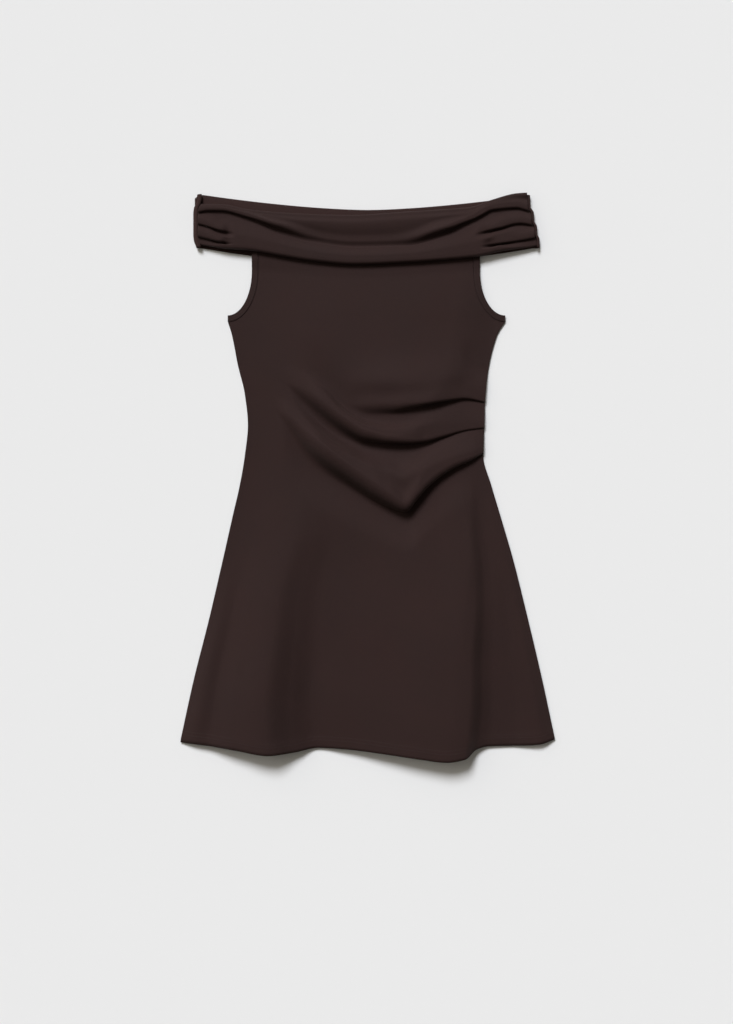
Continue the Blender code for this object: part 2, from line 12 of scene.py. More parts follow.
import bpy
import numpy as np
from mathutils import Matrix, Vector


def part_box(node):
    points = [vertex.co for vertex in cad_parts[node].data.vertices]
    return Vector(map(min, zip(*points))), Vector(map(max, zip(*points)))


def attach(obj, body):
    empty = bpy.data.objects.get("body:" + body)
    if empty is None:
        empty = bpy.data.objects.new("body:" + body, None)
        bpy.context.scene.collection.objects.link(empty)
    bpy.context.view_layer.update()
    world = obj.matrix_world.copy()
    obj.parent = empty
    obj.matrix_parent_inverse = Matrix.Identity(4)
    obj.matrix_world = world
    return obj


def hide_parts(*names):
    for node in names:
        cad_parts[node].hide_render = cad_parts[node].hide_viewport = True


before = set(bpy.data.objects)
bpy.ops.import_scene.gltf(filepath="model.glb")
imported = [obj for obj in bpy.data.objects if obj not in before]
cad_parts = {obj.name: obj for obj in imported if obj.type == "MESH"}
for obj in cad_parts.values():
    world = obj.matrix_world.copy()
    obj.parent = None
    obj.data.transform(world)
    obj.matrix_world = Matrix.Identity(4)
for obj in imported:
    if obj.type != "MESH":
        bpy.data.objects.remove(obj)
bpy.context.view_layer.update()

# %% [markdown]
# Sizes. The dress is drawn in millimetres on a plan: `x` runs across it, `up` runs from the middle
# of its length towards the neckline, and heights are over the table. Real pattern cutters work the
# same way, from a few widths taken at known heights, so the outline is a short table and not a
# traced line. `across` is 0 at the seam on the left of the picture and 1 at the one on the right.

# %% Cloth and outline
MM = 0.001
CLOTH = 1.2
BINDING_CLOTH = 1.6
SEAM_GAP = 0.3
BAND_SEAM_GAP = 0.45
LAYER_GAP = 0.35
ON_FLOOR = CLOTH / 2
NEXT_LAYER = CLOTH + LAYER_GAP

SIDE_NAMES = ("up", "left", "right")
SIDE_ROWS = (
    (227, -203.0, 200.0),
    (208, -197.1, 188.4),
    (164, -188.4, 176.7),
    (121, -178.2, 170.9),
    (77, -173.8, 169.4),
    (33, -178.2, 168.0),
    (-10, -185.5, 179.6),
    (-54, -195.6, 192.7),
    (-119, -210.2, 211.6),
    (-207, -230.5, 233.4),
    (-294, -252.4, 253.8),
    (-381, -271.6, 272.4),
)

ARMHOLE_TOP = 300.0
ARMHOLE_DEPTH = 64.0
ARMHOLE_WIDTH = {"left": 35.0, "right": 37.0}
UNDERARM = {"left": -203.0, "right": 200.0}
BINDING_WIDTH = 9.0
NECK_SIDE = 352.0
NECK_DIP = 13.0
NECK_HALF_WIDTH = 160.0
NECK_SLOPE = 0.06
BACK_NECK = 350.0
PANEL_INSET = BINDING_WIDTH + SEAM_GAP
PANEL_DEPTH = ARMHOLE_DEPTH + PANEL_INSET
print("underarm to underarm:", UNDERARM["right"] - UNDERARM["left"], "mm")

# %% [markdown]
# The hem. Its waves are what shows most of the skirt, so each crest, dip and corner has a row:
# where it is across the skirt, how far down the cloth reaches there, and how high it stands.
# The waves drift sideways as they fade upwards into the soft pillow of air between the front and
# the back. A narrow roll follows the left seam of the skirt, and long shallow dips press the
# front down where the cloth pulls.

# %% Hem waves and pillow
HEM_NAMES = ("across", "up", "height")
HEM_ROWS = (
    (0.000, -384.0, 2.2),
    (0.066, -387.5, 9.0),
    (0.148, -392.8, 23.0),
    (0.236, -399.6, 31.0),
    (0.306, -396.8, 15.0),
    (0.367, -391.8, 3.5),
    (0.439, -393.1, 10.0),
    (0.545, -398.8, 21.0),
    (0.637, -405.2, 28.0),
    (0.708, -409.4, 30.0),
    (0.756, -405.7, 26.0),
    (0.790, -393.2, 9.0),
    (0.823, -389.4, 3.4),
    (0.875, -388.9, 2.7),
    (0.920, -388.3, 5.5),
    (0.958, -386.5, 8.0),
    (1.000, -379.8, 2.2),
)
HEM_WAVE_REACH = 420.0
BACK_HEM_INSET = 2.0
DRIFT_NAMES = ("up", "left", "right")
DRIFT_ROWS = (
    (40, 0.010, 0.115),
    (-87, 0.000, 0.110),
    (-177, -0.030, 0.085),
    (-265, -0.025, 0.045),
    (-305, -0.025, 0.035),
    (-368, -0.010, 0.012),
    (-394, 0.000, 0.000),
)
DRIFT_SIDES = (0.30, 0.82)
DRIFT_FADE_LEFT = 0.2
DRIFT_FADE_RIGHT = 0.1

PILLOW_NAMES = ("up", "height")
PILLOW_ROWS = (
    (352, 0.0),
    (312, 0.4),
    (290, 3.0),
    (235, 7.0),
    (160, 9.5),
    (60, 9.5),
    (-60, 8.5),
    (-200, 9.0),
    (-400, 8.0),
)
PILLOW_RIM_LEFT = 0.30
PILLOW_RIM_RIGHT = 0.17
SEAM_ROUNDING = 28.0

SEAM_ROLL_NAMES = ("up", "across", "rise", "width")
SEAM_ROLL_ROWS = (
    (-110, 0.030, 0.0, 0.045),
    (-180, 0.032, 1.8, 0.042),
    (-260, 0.032, 4.0, 0.042),
    (-340, 0.036, 4.6, 0.042),
    (-384, 0.040, 2.4, 0.042),
)

DIP_NAMES = ("up", "across", "press", "width")
DIPS = {
    "right_flare": (
        (40, 1.000, 0.6, 0.050),
        (-54, 0.942, 0.9, 0.055),
        (-120, 0.905, 0.9, 0.060),
        (-200, 0.860, 0.6, 0.060),
        (-300, 0.830, 0.0, 0.060),
    ),
    "left_wave": (
        (-87, 0.300, 0.00, 0.10),
        (-150, 0.280, 0.30, 0.10),
        (-250, 0.280, 0.30, 0.09),
        (-330, 0.300, 0.00, 0.08),
    ),
    "seam_crease": (
        (200, 0.915, 0.0, 0.05),
        (170, 0.935, 0.4, 0.05),
        (140, 0.972, 0.5, 0.04),
        (116, 0.992, 0.3, 0.03),
    ),
}
print("hem rows:", len(HEM_ROWS), "dips:", ", ".join(DIPS))

# %% [markdown]
# The pleats at the waist. Each is a tuck that laps downwards at the seam and opens into a trough
# as it runs across the front, so one row says everything about the fold at one place: the height
# of its edge, how far the cloth laps under it, how far it turns, the radius over its edge and at
# its foot, how high the cloth lies there, and how much the cloth above it swells. A turn of 180
# degrees is a full fold with three layers of cloth.

# %% Pleats
PLEAT_NAMES = ("across", "up", "lap", "turn", "crown", "bend", "low", "roll")
PLEATS = (
    (
        (0.000, 205.0, 3.0, 0.0, 24.0, 14.0, 9.0, 0.0),
        (0.200, 196.0, 3.0, 0.0, 24.0, 14.0, 9.0, 0.0),
        (0.320, 160.0, 3.0, 0.0, 24.0, 14.0, 10.0, 0.0),
        (0.400, 118.0, 3.0, 3.0, 24.0, 14.0, 10.5, 1.0),
        (0.450, 103.0, 3.0, 14.0, 22.0, 14.0, 10.5, 3.0),
        (0.520, 97.0, 4.0, 32.0, 18.0, 11.0, 10.5, 7.0),
        (0.610, 96.5, 4.0, 50.0, 13.0, 7.0, 10.5, 10.0),
        (0.732, 104.7, 5.0, 95.0, 5.0, 3.0, 8.5, 9.0),
        (0.847, 112.0, 8.0, 165.0, 3.4, 1.6, 5.5, 5.0),
        (0.915, 115.0, 11.0, 180.0, 2.6, 1.3, 4.0, 2.5),
        (1.000, 110.5, 13.0, 180.0, 1.1, 1.1, 2.2, 0.0),
    ),
    (
        (0.000, 152.0, 3.0, 0.0, 24.0, 24.0, 9.0, 0.0),
        (0.160, 140.0, 3.0, 7.0, 24.0, 24.0, 8.4, 0.0),
        (0.230, 121.0, 4.0, 25.0, 24.0, 24.0, 6.6, 0.5),
        (0.300, 100.0, 5.0, 42.0, 23.0, 22.0, 4.8, 3.0),
        (0.370, 79.5, 6.0, 52.0, 20.0, 16.0, 4.2, 6.0),
        (0.430, 65.5, 7.0, 60.0, 17.0, 10.0, 4.0, 8.0),
        (0.500, 54.5, 8.0, 70.0, 13.0, 6.0, 4.0, 8.0),
        (0.580, 51.2, 6.0, 90.0, 9.0, 3.4, 4.2, 6.5),
        (0.681, 50.0, 6.0, 135.0, 6.0, 2.2, 4.4, 4.5),
        (0.747, 52.0, 9.0, 172.0, 4.4, 1.7, 4.2, 3.0),
        (0.828, 59.6, 12.0, 180.0, 3.4, 1.4, 3.8, 1.5),
        (0.917, 68.7, 14.0, 180.0, 2.0, 1.1, 2.8, 0.0),
        (1.000, 73.3, 15.0, 180.0, 1.1, 1.1, 2.2, 0.0),
    ),
    (
        (0.000, 120.0, 3.0, 0.0, 26.0, 30.0, 8.0, 0.0),
        (0.120, 98.0, 3.0, 9.0, 26.0, 30.0, 7.6, 0.0),
        (0.190, 72.0, 4.0, 28.0, 26.0, 30.0, 6.0, 1.0),
        (0.250, 48.0, 6.0, 42.0, 26.0, 26.0, 4.2, 3.5),
        (0.320, 26.0, 9.0, 55.0, 25.0, 20.0, 3.4, 7.0),
        (0.430, -3.0, 11.0, 63.0, 24.0, 10.0, 3.2, 9.5),
        (0.530, -28.5, 11.0, 68.0, 22.0, 5.0, 3.2, 10.5),
        (0.596, -42.5, 9.0, 77.0, 18.0, 3.5, 3.2, 10.5),
        (0.644, -49.0, 6.0, 96.0, 12.0, 3.2, 3.2, 10.0),
        (0.698, -30.3, 7.0, 130.0, 9.5, 2.8, 3.2, 9.0),
        (0.743, -14.0, 9.0, 165.0, 8.5, 2.6, 3.2, 8.0),
        (0.806, 2.3, 12.0, 180.0, 7.6, 2.5, 3.0, 6.0),
        (0.874, 15.1, 14.0, 180.0, 6.6, 2.3, 2.7, 4.0),
        (0.950, 26.2, 15.0, 180.0, 4.6, 1.8, 2.4, 1.0),
        (1.000, 36.4, 15.0, 180.0, 1.1, 1.1, 2.2, 0.0),
    ),
)
PLEAT_SKEW = (2.6, 2.0, 1.3)
PLEAT_EASE = (58.0, 34.0)
PLEAT_SPREAD = 12.0
TROUGH_SHOWS = 30.0
FOOT_LEDGE = 2.0
print("pleats:", len(PLEATS), "deepest lap:", max(row[2] for pleat in PLEATS for row in pleat), "mm")

# %% [markdown]
# The band. It is one cuff laid flat: its front goes over the chest, sags into a broad trough and
# a full lower roll in the middle, and is tucked three times into each end. Its back lies on the
# table, wraps round both ends and meets the front at two short seams. The left one is rounded at
# its corners, and the right one steps from tuck to tuck.

# %% Band
BAND_LEFT = -245.5
BAND_START_NAMES = ("up", "left")
BAND_START_ROWS = (
    (333, -241.0),
    (340, -244.4),
    (350, -245.5),
    (380, -245.5),
    (390, -244.2),
    (397, -240.0),
)
BAND_NAMES = ("across", "top", "first", "second", "third", "low")
BAND_ROWS = (
    (0.000, 396.0, 384.3, 367.8, 349.5, 339.0),
    (0.030, 396.0, 387.0, 363.9, 346.0, 336.0),
    (0.067, 395.6, 387.0, 358.0, 341.5, 332.6),
    (0.147, 389.0, 378.0, 351.0, 338.5, 329.6),
    (0.242, 384.5, 362.0, 344.5, 333.0, 321.5),
    (0.333, 382.0, 348.0, 336.0, 325.0, 314.5),
    (0.460, 380.5, 340.0, 329.0, 318.5, 309.5),
    (0.615, 385.0, 342.0, 331.5, 321.5, 312.5),
    (0.732, 388.5, 358.0, 342.0, 328.0, 316.5),
    (0.825, 392.0, 374.5, 353.0, 334.5, 321.0),
    (0.895, 403.0, 388.5, 361.5, 339.5, 328.5),
    (0.967, 411.5, 391.0, 368.5, 345.0, 334.0),
    (1.000, 412.6, 386.5, 366.0, 348.0, 337.0),
)
BAND_WRAP = 2.4
BAND_END_SHIFT = 3.0
INNER_END_LOW = 240.0
INNER_END_SLANT = 0.19
INNER_EASE = 4.0
BAND_END_NAMES = ("up", "right")
BAND_END_ROWS = (
    (336, 245.0),
    (344, 244.6),
    (350, 241.6),
    (362, 241.0),
    (369, 237.2),
    (382, 236.4),
    (390, 231.8),
    (412, 230.8),
)
TUCK_NAMES = (
    "left_hold", "left_reach", "right_hold", "right_reach", "lap", "rest", "crown", "bend",
)
TUCKS = (
    (20.0, 190.0, 35.0, 215.0, 4.0, 26.0, 7.0, 7.0),
    (12.0, 60.0, 30.0, 95.0, 3.6, 0.0, 3.0, 2.5),
    (10.0, 55.0, 28.0, 90.0, 3.6, 0.0, 3.0, 2.5),
)
TUCK_CROWN = 1.8
TUCK_BEND = 1.1
TUCK_EASE = (8.0, 14.0)
TUCK_SPREAD = 4.0
TUCK_SHORTEST_LAP = 2.0
TUCK_OPENS = 150.0
TUCK_OPEN = 30.0
TUCK_SHOWS = 60.0
TUCK_LEDGE = 1.0
BAND_EASE = 60.0
BAND_END_CROWN = 3.4
BAND_END_DECK = 8.6
BAND_MID_DECK = 6.7
BAND_TOP_RISE = 3.5
BAND_CREST_RISE = 3.5
BAND_CREST_SKEW = 1.4
BAND_ROLL_RISE = 7.5
BAND_ROLL_REACH = 0.65
BAND_BROW_MID = 14.0
BAND_UNDER_MID = 6.3
BAND_UNDER_WIDTH = 9.0
LINING_STEP = 2.2
BACK_TOP_DIP = 388.8
BACK_TOP_RISE = 22.0
BACK_TOP_POWER = 1.6
BACK_LOW_DIP = 312.0
BACK_LOW_RISE = 22.0
BAND_HALF = 240.0
STEP_DOWN = 20.0
STEP_CLEAR = 3.0
print("band from", BAND_LEFT, "to", BAND_END_ROWS[0][1], "mm")

# %% [markdown]
# Small tools. A table row is read by its column's name, and a curve through the rows never
# overshoots them, so a crest keeps the height that its row gives.


# %% Curves
def smooth(t):
    """An even S-curve: 3 t^2 - 2 t^3 between 0 and 1."""
    t = np.clip(t, 0.0, 1.0)
    return t * t * (3.0 - 2.0 * t)


def hump(t):
    """A soft hump: (1 - t^2)^2 between -1 and 1, and 0 outside."""
    return np.maximum(0.0, 1.0 - t * t) ** 2


def mix(a, b, share):
    """a + (b - a) share."""
    return a + (b - a) * share


def column(rows, names, name):
    """One named column of a table, as an array."""
    return np.array([row[names.index(name)] for row in rows], dtype=float)


def through(rows, names, along, name, at):
    """A cubic through the rows whose slopes are harmonic means, so it never overshoots."""
    x = column(rows, names, along)
    y = column(rows, names, name)
    if x[0] > x[-1]:
        x, y = x[::-1], y[::-1]
    step = np.diff(x)
    slope = np.diff(y) / step
    tangent = np.zeros_like(y)
    same = slope[:-1] * slope[1:] > 0
    near, far = slope[:-1][same], slope[1:][same]
    tangent[1:-1][same] = 2.0 * near * far / (near + far)
    tangent[0], tangent[-1] = slope[0], slope[-1]
    at = np.clip(at, x[0], x[-1])
    i = np.clip(np.searchsorted(x, at) - 1, 0, len(step) - 1)
    t = (at - x[i]) / step[i]
    start = (1 + 2 * t) * (1 - t) ** 2 * y[i] + t * t * (3 - 2 * t) * y[i + 1]
    return start + step[i] * t * (1 - t) * ((1 - t) * tangent[i] - t * tangent[i + 1])


print("halfway up the S-curve:", float(smooth(0.5)))

# %% [markdown]
# Outlines and heights. The armhole is a quarter of an ellipse, the neckline a shallow parabola.
# Heights stack up like the real layers: the band's back and the back panel lie on the table, and
# the front panel lies a layer above them and is lifted by its pillow, dips and hem waves.


# %% Outline of the panels
def armhole_edge(side, inset, angle):
    """x = underarm - width cos(angle), up = top - depth sin(angle); angle 90 is the underarm."""
    outward = -1.0 if side == "left" else 1.0
    turn = np.radians(angle)
    x = UNDERARM[side] - outward * (ARMHOLE_WIDTH[side] + inset) * np.cos(turn)
    return x, ARMHOLE_TOP - (ARMHOLE_DEPTH + inset) * np.sin(turn)


def panel_edge(side, up):
    """The side seam's curve below the underarm, and the armhole's ellipse above it."""
    seam = through(SIDE_ROWS, SIDE_NAMES, "up", side, up)
    share = np.clip((ARMHOLE_TOP - up) / PANEL_DEPTH, 0.0, 1.0)
    armhole, _ = armhole_edge(side, PANEL_INSET, np.degrees(np.arcsin(share)))
    return np.where(up > ARMHOLE_TOP - PANEL_DEPTH, armhole, seam)


def panel_x(up, across):
    """x = left edge + (right edge - left edge) across, at each height."""
    return mix(panel_edge("left", up), panel_edge("right", up), across)


def hem_line(across):
    """How far down the front's hem reaches: a curve through the hem's rows."""
    return through(HEM_ROWS, HEM_NAMES, "across", "up", across)


def neck(x):
    """The front neckline: a parabola across the chest, a gentle slope beyond."""
    side = np.minimum(1.0, np.abs(x) / NECK_HALF_WIDTH)
    beyond = np.maximum(0.0, np.abs(x) - NECK_HALF_WIDTH)
    return NECK_SIDE - NECK_DIP * (1.0 - side * side) + NECK_SLOPE * beyond


def band_low(x):
    """The lower edge of the band's back: a parabola."""
    return BACK_LOW_DIP + BACK_LOW_RISE * (np.abs(x) / BAND_HALF) ** 2


def band_top(x):
    """The top fold of the band's back: a curve a little flatter than a parabola."""
    return BACK_TOP_DIP + BACK_TOP_RISE * (np.abs(x) / BAND_HALF) ** BACK_TOP_POWER


print("neckline dips", NECK_DIP, "mm")


# %% Heights over the table
def back_height(x, up):
    """Half a layer over the table, and one lining step more where the band's back runs under it."""
    start = band_low(x) - STEP_CLEAR - STEP_DOWN
    return ON_FLOOR + LINING_STEP * smooth((up - start) / STEP_DOWN)


def front_floor(x, up):
    """The back panel's height plus one layer."""
    return back_height(x, up) + NEXT_LAYER


def seam_share(x, up):
    """(x - left seam) / (right seam - left seam), the seams turning upright by a soft minimum."""
    top = SIDE_ROWS[0][0]
    up = top - SEAM_ROUNDING * np.logaddexp(0.0, (top - up) / SEAM_ROUNDING)
    left = through(SIDE_ROWS, SIDE_NAMES, "up", "left", up)
    right = through(SIDE_ROWS, SIDE_NAMES, "up", "right", up)
    return np.clip((x - left) / (right - left), 0.0, 1.0)


def rim(across):
    """0 at both side seams, 1 where the pillow has its full height."""
    return smooth(across / PILLOW_RIM_LEFT) * smooth((1.0 - across) / PILLOW_RIM_RIGHT)


def hem_wave(across, up):
    """The hem's height, read at across minus a drift that grows upwards and is 0 at the seams."""
    left = through(DRIFT_ROWS, DRIFT_NAMES, "up", "left", up)
    right = through(DRIFT_ROWS, DRIFT_NAMES, "up", "right", up)
    side = smooth((across - DRIFT_SIDES[0]) / (DRIFT_SIDES[1] - DRIFT_SIDES[0]))
    fade = smooth(across / DRIFT_FADE_LEFT) * smooth((1.0 - across) / DRIFT_FADE_RIGHT)
    return through(HEM_ROWS, HEM_NAMES, "across", "height", across - mix(left, right, side) * fade)


def seam_roll(across, up):
    """rise hump((across - middle) / width), all three read from the roll's rows."""
    middle, rise, width = (
        through(SEAM_ROLL_ROWS, SEAM_ROLL_NAMES, "up", name, up) for name in SEAM_ROLL_NAMES[1:]
    )
    return rise * hump((across - middle) / width)


def front_height(x, up):
    """(Floor + pillow less its dips) mixed into the hem's waves near the hem, plus the roll."""
    across = seam_share(x, up)
    rise = through(PILLOW_ROWS, PILLOW_NAMES, "up", "height", up) * rim(across)
    for rows in DIPS.values():
        middle, press, width = (
            through(rows, DIP_NAMES, "up", name, up) for name in DIP_NAMES[1:]
        )
        inside = (up > rows[-1][0] - 1.0) & (up < rows[0][0] + 1.0)
        rise = rise * (1.0 - press * inside * hump((across - middle) / width))
    near = smooth(1.0 - (up - hem_line(across)) / HEM_WAVE_REACH)
    return mix(front_floor(x, up) + rise, hem_wave(across, up), near) + seam_roll(across, up)


# %% [markdown]
# A fold in cloth. Seen from its end, a tuck is an S: the cloth bends down and back, runs straight
# under itself, and bends out again. Walking along the cloth and turning at a steady rate gives
# both bends as arcs, and the same few numbers also describe an open trough, so a pleat can die
# out smoothly.


# %% Folds and the strips between them
FOLD_SHOWS = 25.0
EASE_SHARE = 0.6
ROLL_POWER = 1.5


def folded(turn):
    """0 up to a quarter turn, 1 at a full fold, in degrees."""
    return smooth((turn - 90.0) / 90.0)


def fold(lap, turn, crown, bend, low, edge, steps):
    """Arc of radius crown to 90 degrees, arc of radius bend past it, the lap, and an arc back."""
    turn = np.radians(turn)
    upright = np.minimum(turn, np.pi / 2)
    share = np.linspace(0.0, 1.0, steps + 1)[:, None]
    first = turn * share
    out = np.minimum(first, np.pi / 2)
    crown_run = crown * np.sin(out) + bend * (np.sin(first) - np.sin(out))
    crown_drop = crown * (1.0 - np.cos(out)) + bend * (np.cos(out) - np.cos(first))
    drop = crown_drop[-1:] + lap * np.sin(turn) + bend * (1.0 - np.cos(turn))
    middle = crown * np.sin(upright) + 0.5 * lap * np.cos(turn)
    start = -edge - np.where(turn > np.pi / 2, crown, middle)
    end = start + crown_run[-1:] + lap * np.cos(turn)
    second = turn * share[::-1]
    lower = end + bend * (np.sin(turn) - np.sin(second))
    ups = -np.concatenate([start + crown_run, lower])
    heights = np.concatenate([low + drop - crown_drop, low + bend * (1.0 - np.cos(second))])
    return ups, heights, drop


def fold_rows(edge, lap, turn, crown, bend, low, steps, spread, height_at):
    """The fold's rows where it turns, mixed into rows spread evenly over the open cloth."""
    ups, heights, drop = fold(lap, turn, crown, bend, low, edge, steps)
    shown = smooth(turn / FOLD_SHOWS)
    even = edge + spread * np.linspace(0.5, -0.5, len(ups))[:, None]
    ups = mix(even, ups, shown)
    return ups, mix(height_at(ups), heights, shown), drop, shown


def strip(start, end, levels, plateaus, shown, ease, count, height_at, roll, skew=1.0):
    """Leaves the fold above at its low layer, follows the free cloth, meets the next fold's top.

    The free cloth swells by roll sin(pi share^skew)^1.5, and a skew over 1 moves the swell down.
    """
    share = (np.arange(1, count) / count)[:, None]
    up = mix(start, end, share)
    length = np.maximum(start - end, 1.0)
    leave_ease = np.minimum(ease[0], EASE_SHARE * length)
    meet_ease = np.minimum(ease[1], EASE_SHARE * length)
    leave = shown[0] * (1.0 - smooth((start - up - plateaus[0]) / leave_ease))
    meet = shown[1] * (1.0 - smooth((up - end - plateaus[1]) / meet_ease))
    base = height_at(up) + roll * np.sin(np.pi * share**skew) ** ROLL_POWER
    free = (1.0 - leave) * (1.0 - meet)
    total = leave + meet + free
    return up, (levels[0] * leave + levels[1] * meet + base * free) / total


def crowded(count, share):
    """0 to 1 in steps that are finer near both ends: a cosine mixed into even steps."""
    even = np.linspace(0.0, 1.0, count)
    return mix(even, 0.5 - 0.5 * np.cos(np.pi * even), share)[None, :]


# %% [markdown]
# From points to cloth. A sheet is a grid of points on the middle of the cloth, and a Solidify
# modifier gives it its thickness. Its UV map is the distance walked along the cloth in metres, so
# the knit keeps its size in every fold. The grid is moved onto the solids' own origin, which is
# read from the back panel: its sides and its top edge are known in the plan.


# %% Sheets
ACROSS_CLOTH = [0, 2]
ANY_WAY = [0, 1, 2]
back_low, back_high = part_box("back_panel")
HEM_LEFT = float(panel_edge("left", np.array(HEM_ROWS[0][1] + BACK_HEM_INSET)))
PLAN_ORIGIN = np.array([
    HEM_LEFT - back_low[0] / MM,
    BACK_NECK - SEAM_GAP / 2 - back_high[1] / MM,
    0.0,
])
print("the solids' origin on the plan:", np.round(PLAN_ORIGIN, 2), "mm")


def walked(points, axis, coordinates):
    """Sum of the steps along the grid's rows or columns, over some of x, up and height."""
    step = np.linalg.norm(np.diff(points[..., coordinates], axis=axis), axis=-1)
    return np.insert(np.cumsum(step, axis=axis), 0, 0.0, axis=axis) * MM


def link(name, mesh):
    """Puts a mesh into the scene as an object at the origin."""
    piece = bpy.data.objects.new(name, mesh)
    bpy.context.scene.collection.objects.link(piece)
    return piece


def cloth_sheet(name, points, wall, even=True, coordinates=ACROSS_CLOTH):
    """Faces between neighbouring grid points, UVs in metres, and half the wall on each side.

    The UV's u is walked from the middle column and its v from the first row, so the columns of
    the knit stay upright and its rows stay level wherever the cloth lies free.
    """
    rows, columns, _ = points.shape
    index = np.arange(rows * columns).reshape(rows, columns)
    corners = (index[:-1, :-1], index[1:, :-1], index[1:, 1:], index[:-1, 1:])
    faces = np.stack([corner.ravel() for corner in corners], axis=-1)
    mesh = bpy.data.meshes.new(name)
    mesh.from_pydata(((points - PLAN_ORIGIN).reshape(-1, 3) * MM).tolist(), [], faces.tolist())
    u = walked(points, 1, coordinates)
    u = u - u[:, columns // 2, None]
    uv = np.stack([u, walked(points, 0, ANY_WAY)], axis=-1)
    layer = mesh.uv_layers.new(name="cloth")
    layer.data.foreach_set("uv", uv.reshape(-1, 2)[faces.ravel()].ravel())
    mesh.shade_smooth()
    piece = link(name, mesh)
    thick = piece.modifiers.new("cloth", "SOLIDIFY")
    thick.thickness = wall * MM
    thick.offset = 0.0
    thick.use_even_offset = even
    return piece


def flat_size(points):
    """The longest row, the longest column and the sum of the faces' areas, in metres."""
    width = np.linalg.norm(np.diff(points, axis=1), axis=-1).sum(axis=1).max() * MM
    length = np.linalg.norm(np.diff(points, axis=0), axis=-1).sum(axis=0).max() * MM
    a = points[1:, :-1] - points[:-1, :-1]
    b = points[:-1, 1:] - points[:-1, :-1]
    area = np.linalg.norm(np.cross(a, b), axis=-1).sum() * MM * MM
    return float(width), float(length), float(area)


# %% [markdown]
# The front panel. It is one piece from the neckline to the hem. Its grid's rows follow the three
# pleats, so that each fold edge is a clean line of points, and its columns crowd towards the side
# seams. A soft ripple of a fraction of a millimetre keeps the free cloth from looking pressed.

# %% Front panel
RIPPLE_ROWS = (
    (0.031, 0.009, 0.4, 0.35),
    (-0.017, 0.024, 1.9, 0.40),
    (0.052, -0.021, 3.1, 0.18),
    (0.011, 0.047, 5.0, 0.22),
)
RIPPLE_CALM = 150.0
HEM_FOLD = 15.0
HEM_FOLD_RISE = 0.45
HEM_FOLD_EDGE = 1.5
FRONT_COLUMNS = 190
PANEL_CROWDING = 0.5
NECK_ROWS = 8
ARMHOLE_LEVELS = ARMHOLE_TOP - PANEL_DEPTH * np.sin(np.radians(np.linspace(0.0, 90.0, 25)))
PLEAT_STRIPS = (30, 26, 34)
PLEAT_STEPS = 6
SKIRT_STRIPS = 90


def ripple(x, up):
    """A sum of sine waves, height sin(along_x x + along_up up + phase), calm at every edge."""
    waves = sum(
        height * np.sin(along_x * x + along_up * up + phase)
        for along_x, along_up, phase, height in RIPPLE_ROWS
    )
    return waves * rim(seam_share(x, up)) * smooth((NECK_SIDE - up) / RIPPLE_CALM)


def hem_turning(above):
    """The turned-up hem lifts the cloth by half a millimetre, up to the turning's edge."""
    return HEM_FOLD_RISE * (1.0 - smooth((above - HEM_FOLD) / HEM_FOLD_EDGE))


def front_points():
    """Rows by height down to the underarm, then rows that follow each pleat, then the skirt."""
    across = crowded(FRONT_COLUMNS, PANEL_CROWDING)
    hem = hem_line(across)

    def height_at(up):
        """Where no pleat is: the panel's height, its ripple and the turned hem."""
        x = panel_x(up, across)
        return front_height(x, up) + ripple(x, up) + hem_turning(up - hem)

    guess = np.full_like(across, NECK_SIDE)
    top = neck(panel_x(guess, across)) - SEAM_GAP
    rows = [mix(top, ARMHOLE_TOP, i / NECK_ROWS) for i in range(NECK_ROWS)]
    rows += [np.full_like(across, level) for level in ARMHOLE_LEVELS]
    ups = [np.concatenate(rows)]
    heights = [height_at(ups[0])]
    none = np.zeros_like(across)
    start, level, plateau, before = rows[-1], none, none, none
    for table, count, skew in zip(PLEATS, PLEAT_STRIPS, PLEAT_SKEW):
        edge, lap, turn, crown, bend, low, roll = (
            through(table, PLEAT_NAMES, "across", name, across) for name in PLEAT_NAMES[1:]
        )
        open_height = height_at(edge)
        low = mix(open_height, low, smooth(turn / TROUGH_SHOWS))
        low = np.maximum(low, front_floor(panel_x(edge, across), edge))
        fold_up, fold_height, drop, shown = fold_rows(
            edge, lap, turn, crown, bend, low, PLEAT_STEPS, PLEAT_SPREAD, height_at
        )
        full = folded(turn)
        up, height = strip(
            start, fold_up[:1], (level, low + drop), (plateau, full * (lap + bend)),
            (before, shown), PLEAT_EASE, count, height_at, roll, skew,
        )
        ups += [up, fold_up]
        heights += [height, fold_height]
        start, level, before = fold_up[-1:], low, shown
        plateau = full * (lap + bend + FOOT_LEDGE)
    up, height = strip(
        start, hem, (level, none), (plateau, none), (before, none),
        PLEAT_EASE, SKIRT_STRIPS, height_at, 0.0,
    )
    up = np.concatenate(ups + [up, hem])
    height = np.concatenate(heights + [height, height_at(hem)])
    return np.stack([panel_x(up, across), up, height], axis=-1)


front_grid = front_points()
front = cloth_sheet("dress_front", front_grid, CLOTH)
front_flat = flat_size(front_grid)
print("front:", front_grid.shape, "flat size and area:", np.round(front_flat, 3))

# %% [markdown]
# The back panel. It lies flat on the table under everything, so it has no folds of its own. Only
# its top rises, where the band's back runs under it, and its hem stays just inside the front's.


# %% Back panel
BACK_COLUMNS = 90
BACK_NECK_ROWS = 13
BACK_SKIRT_ROWS = 60


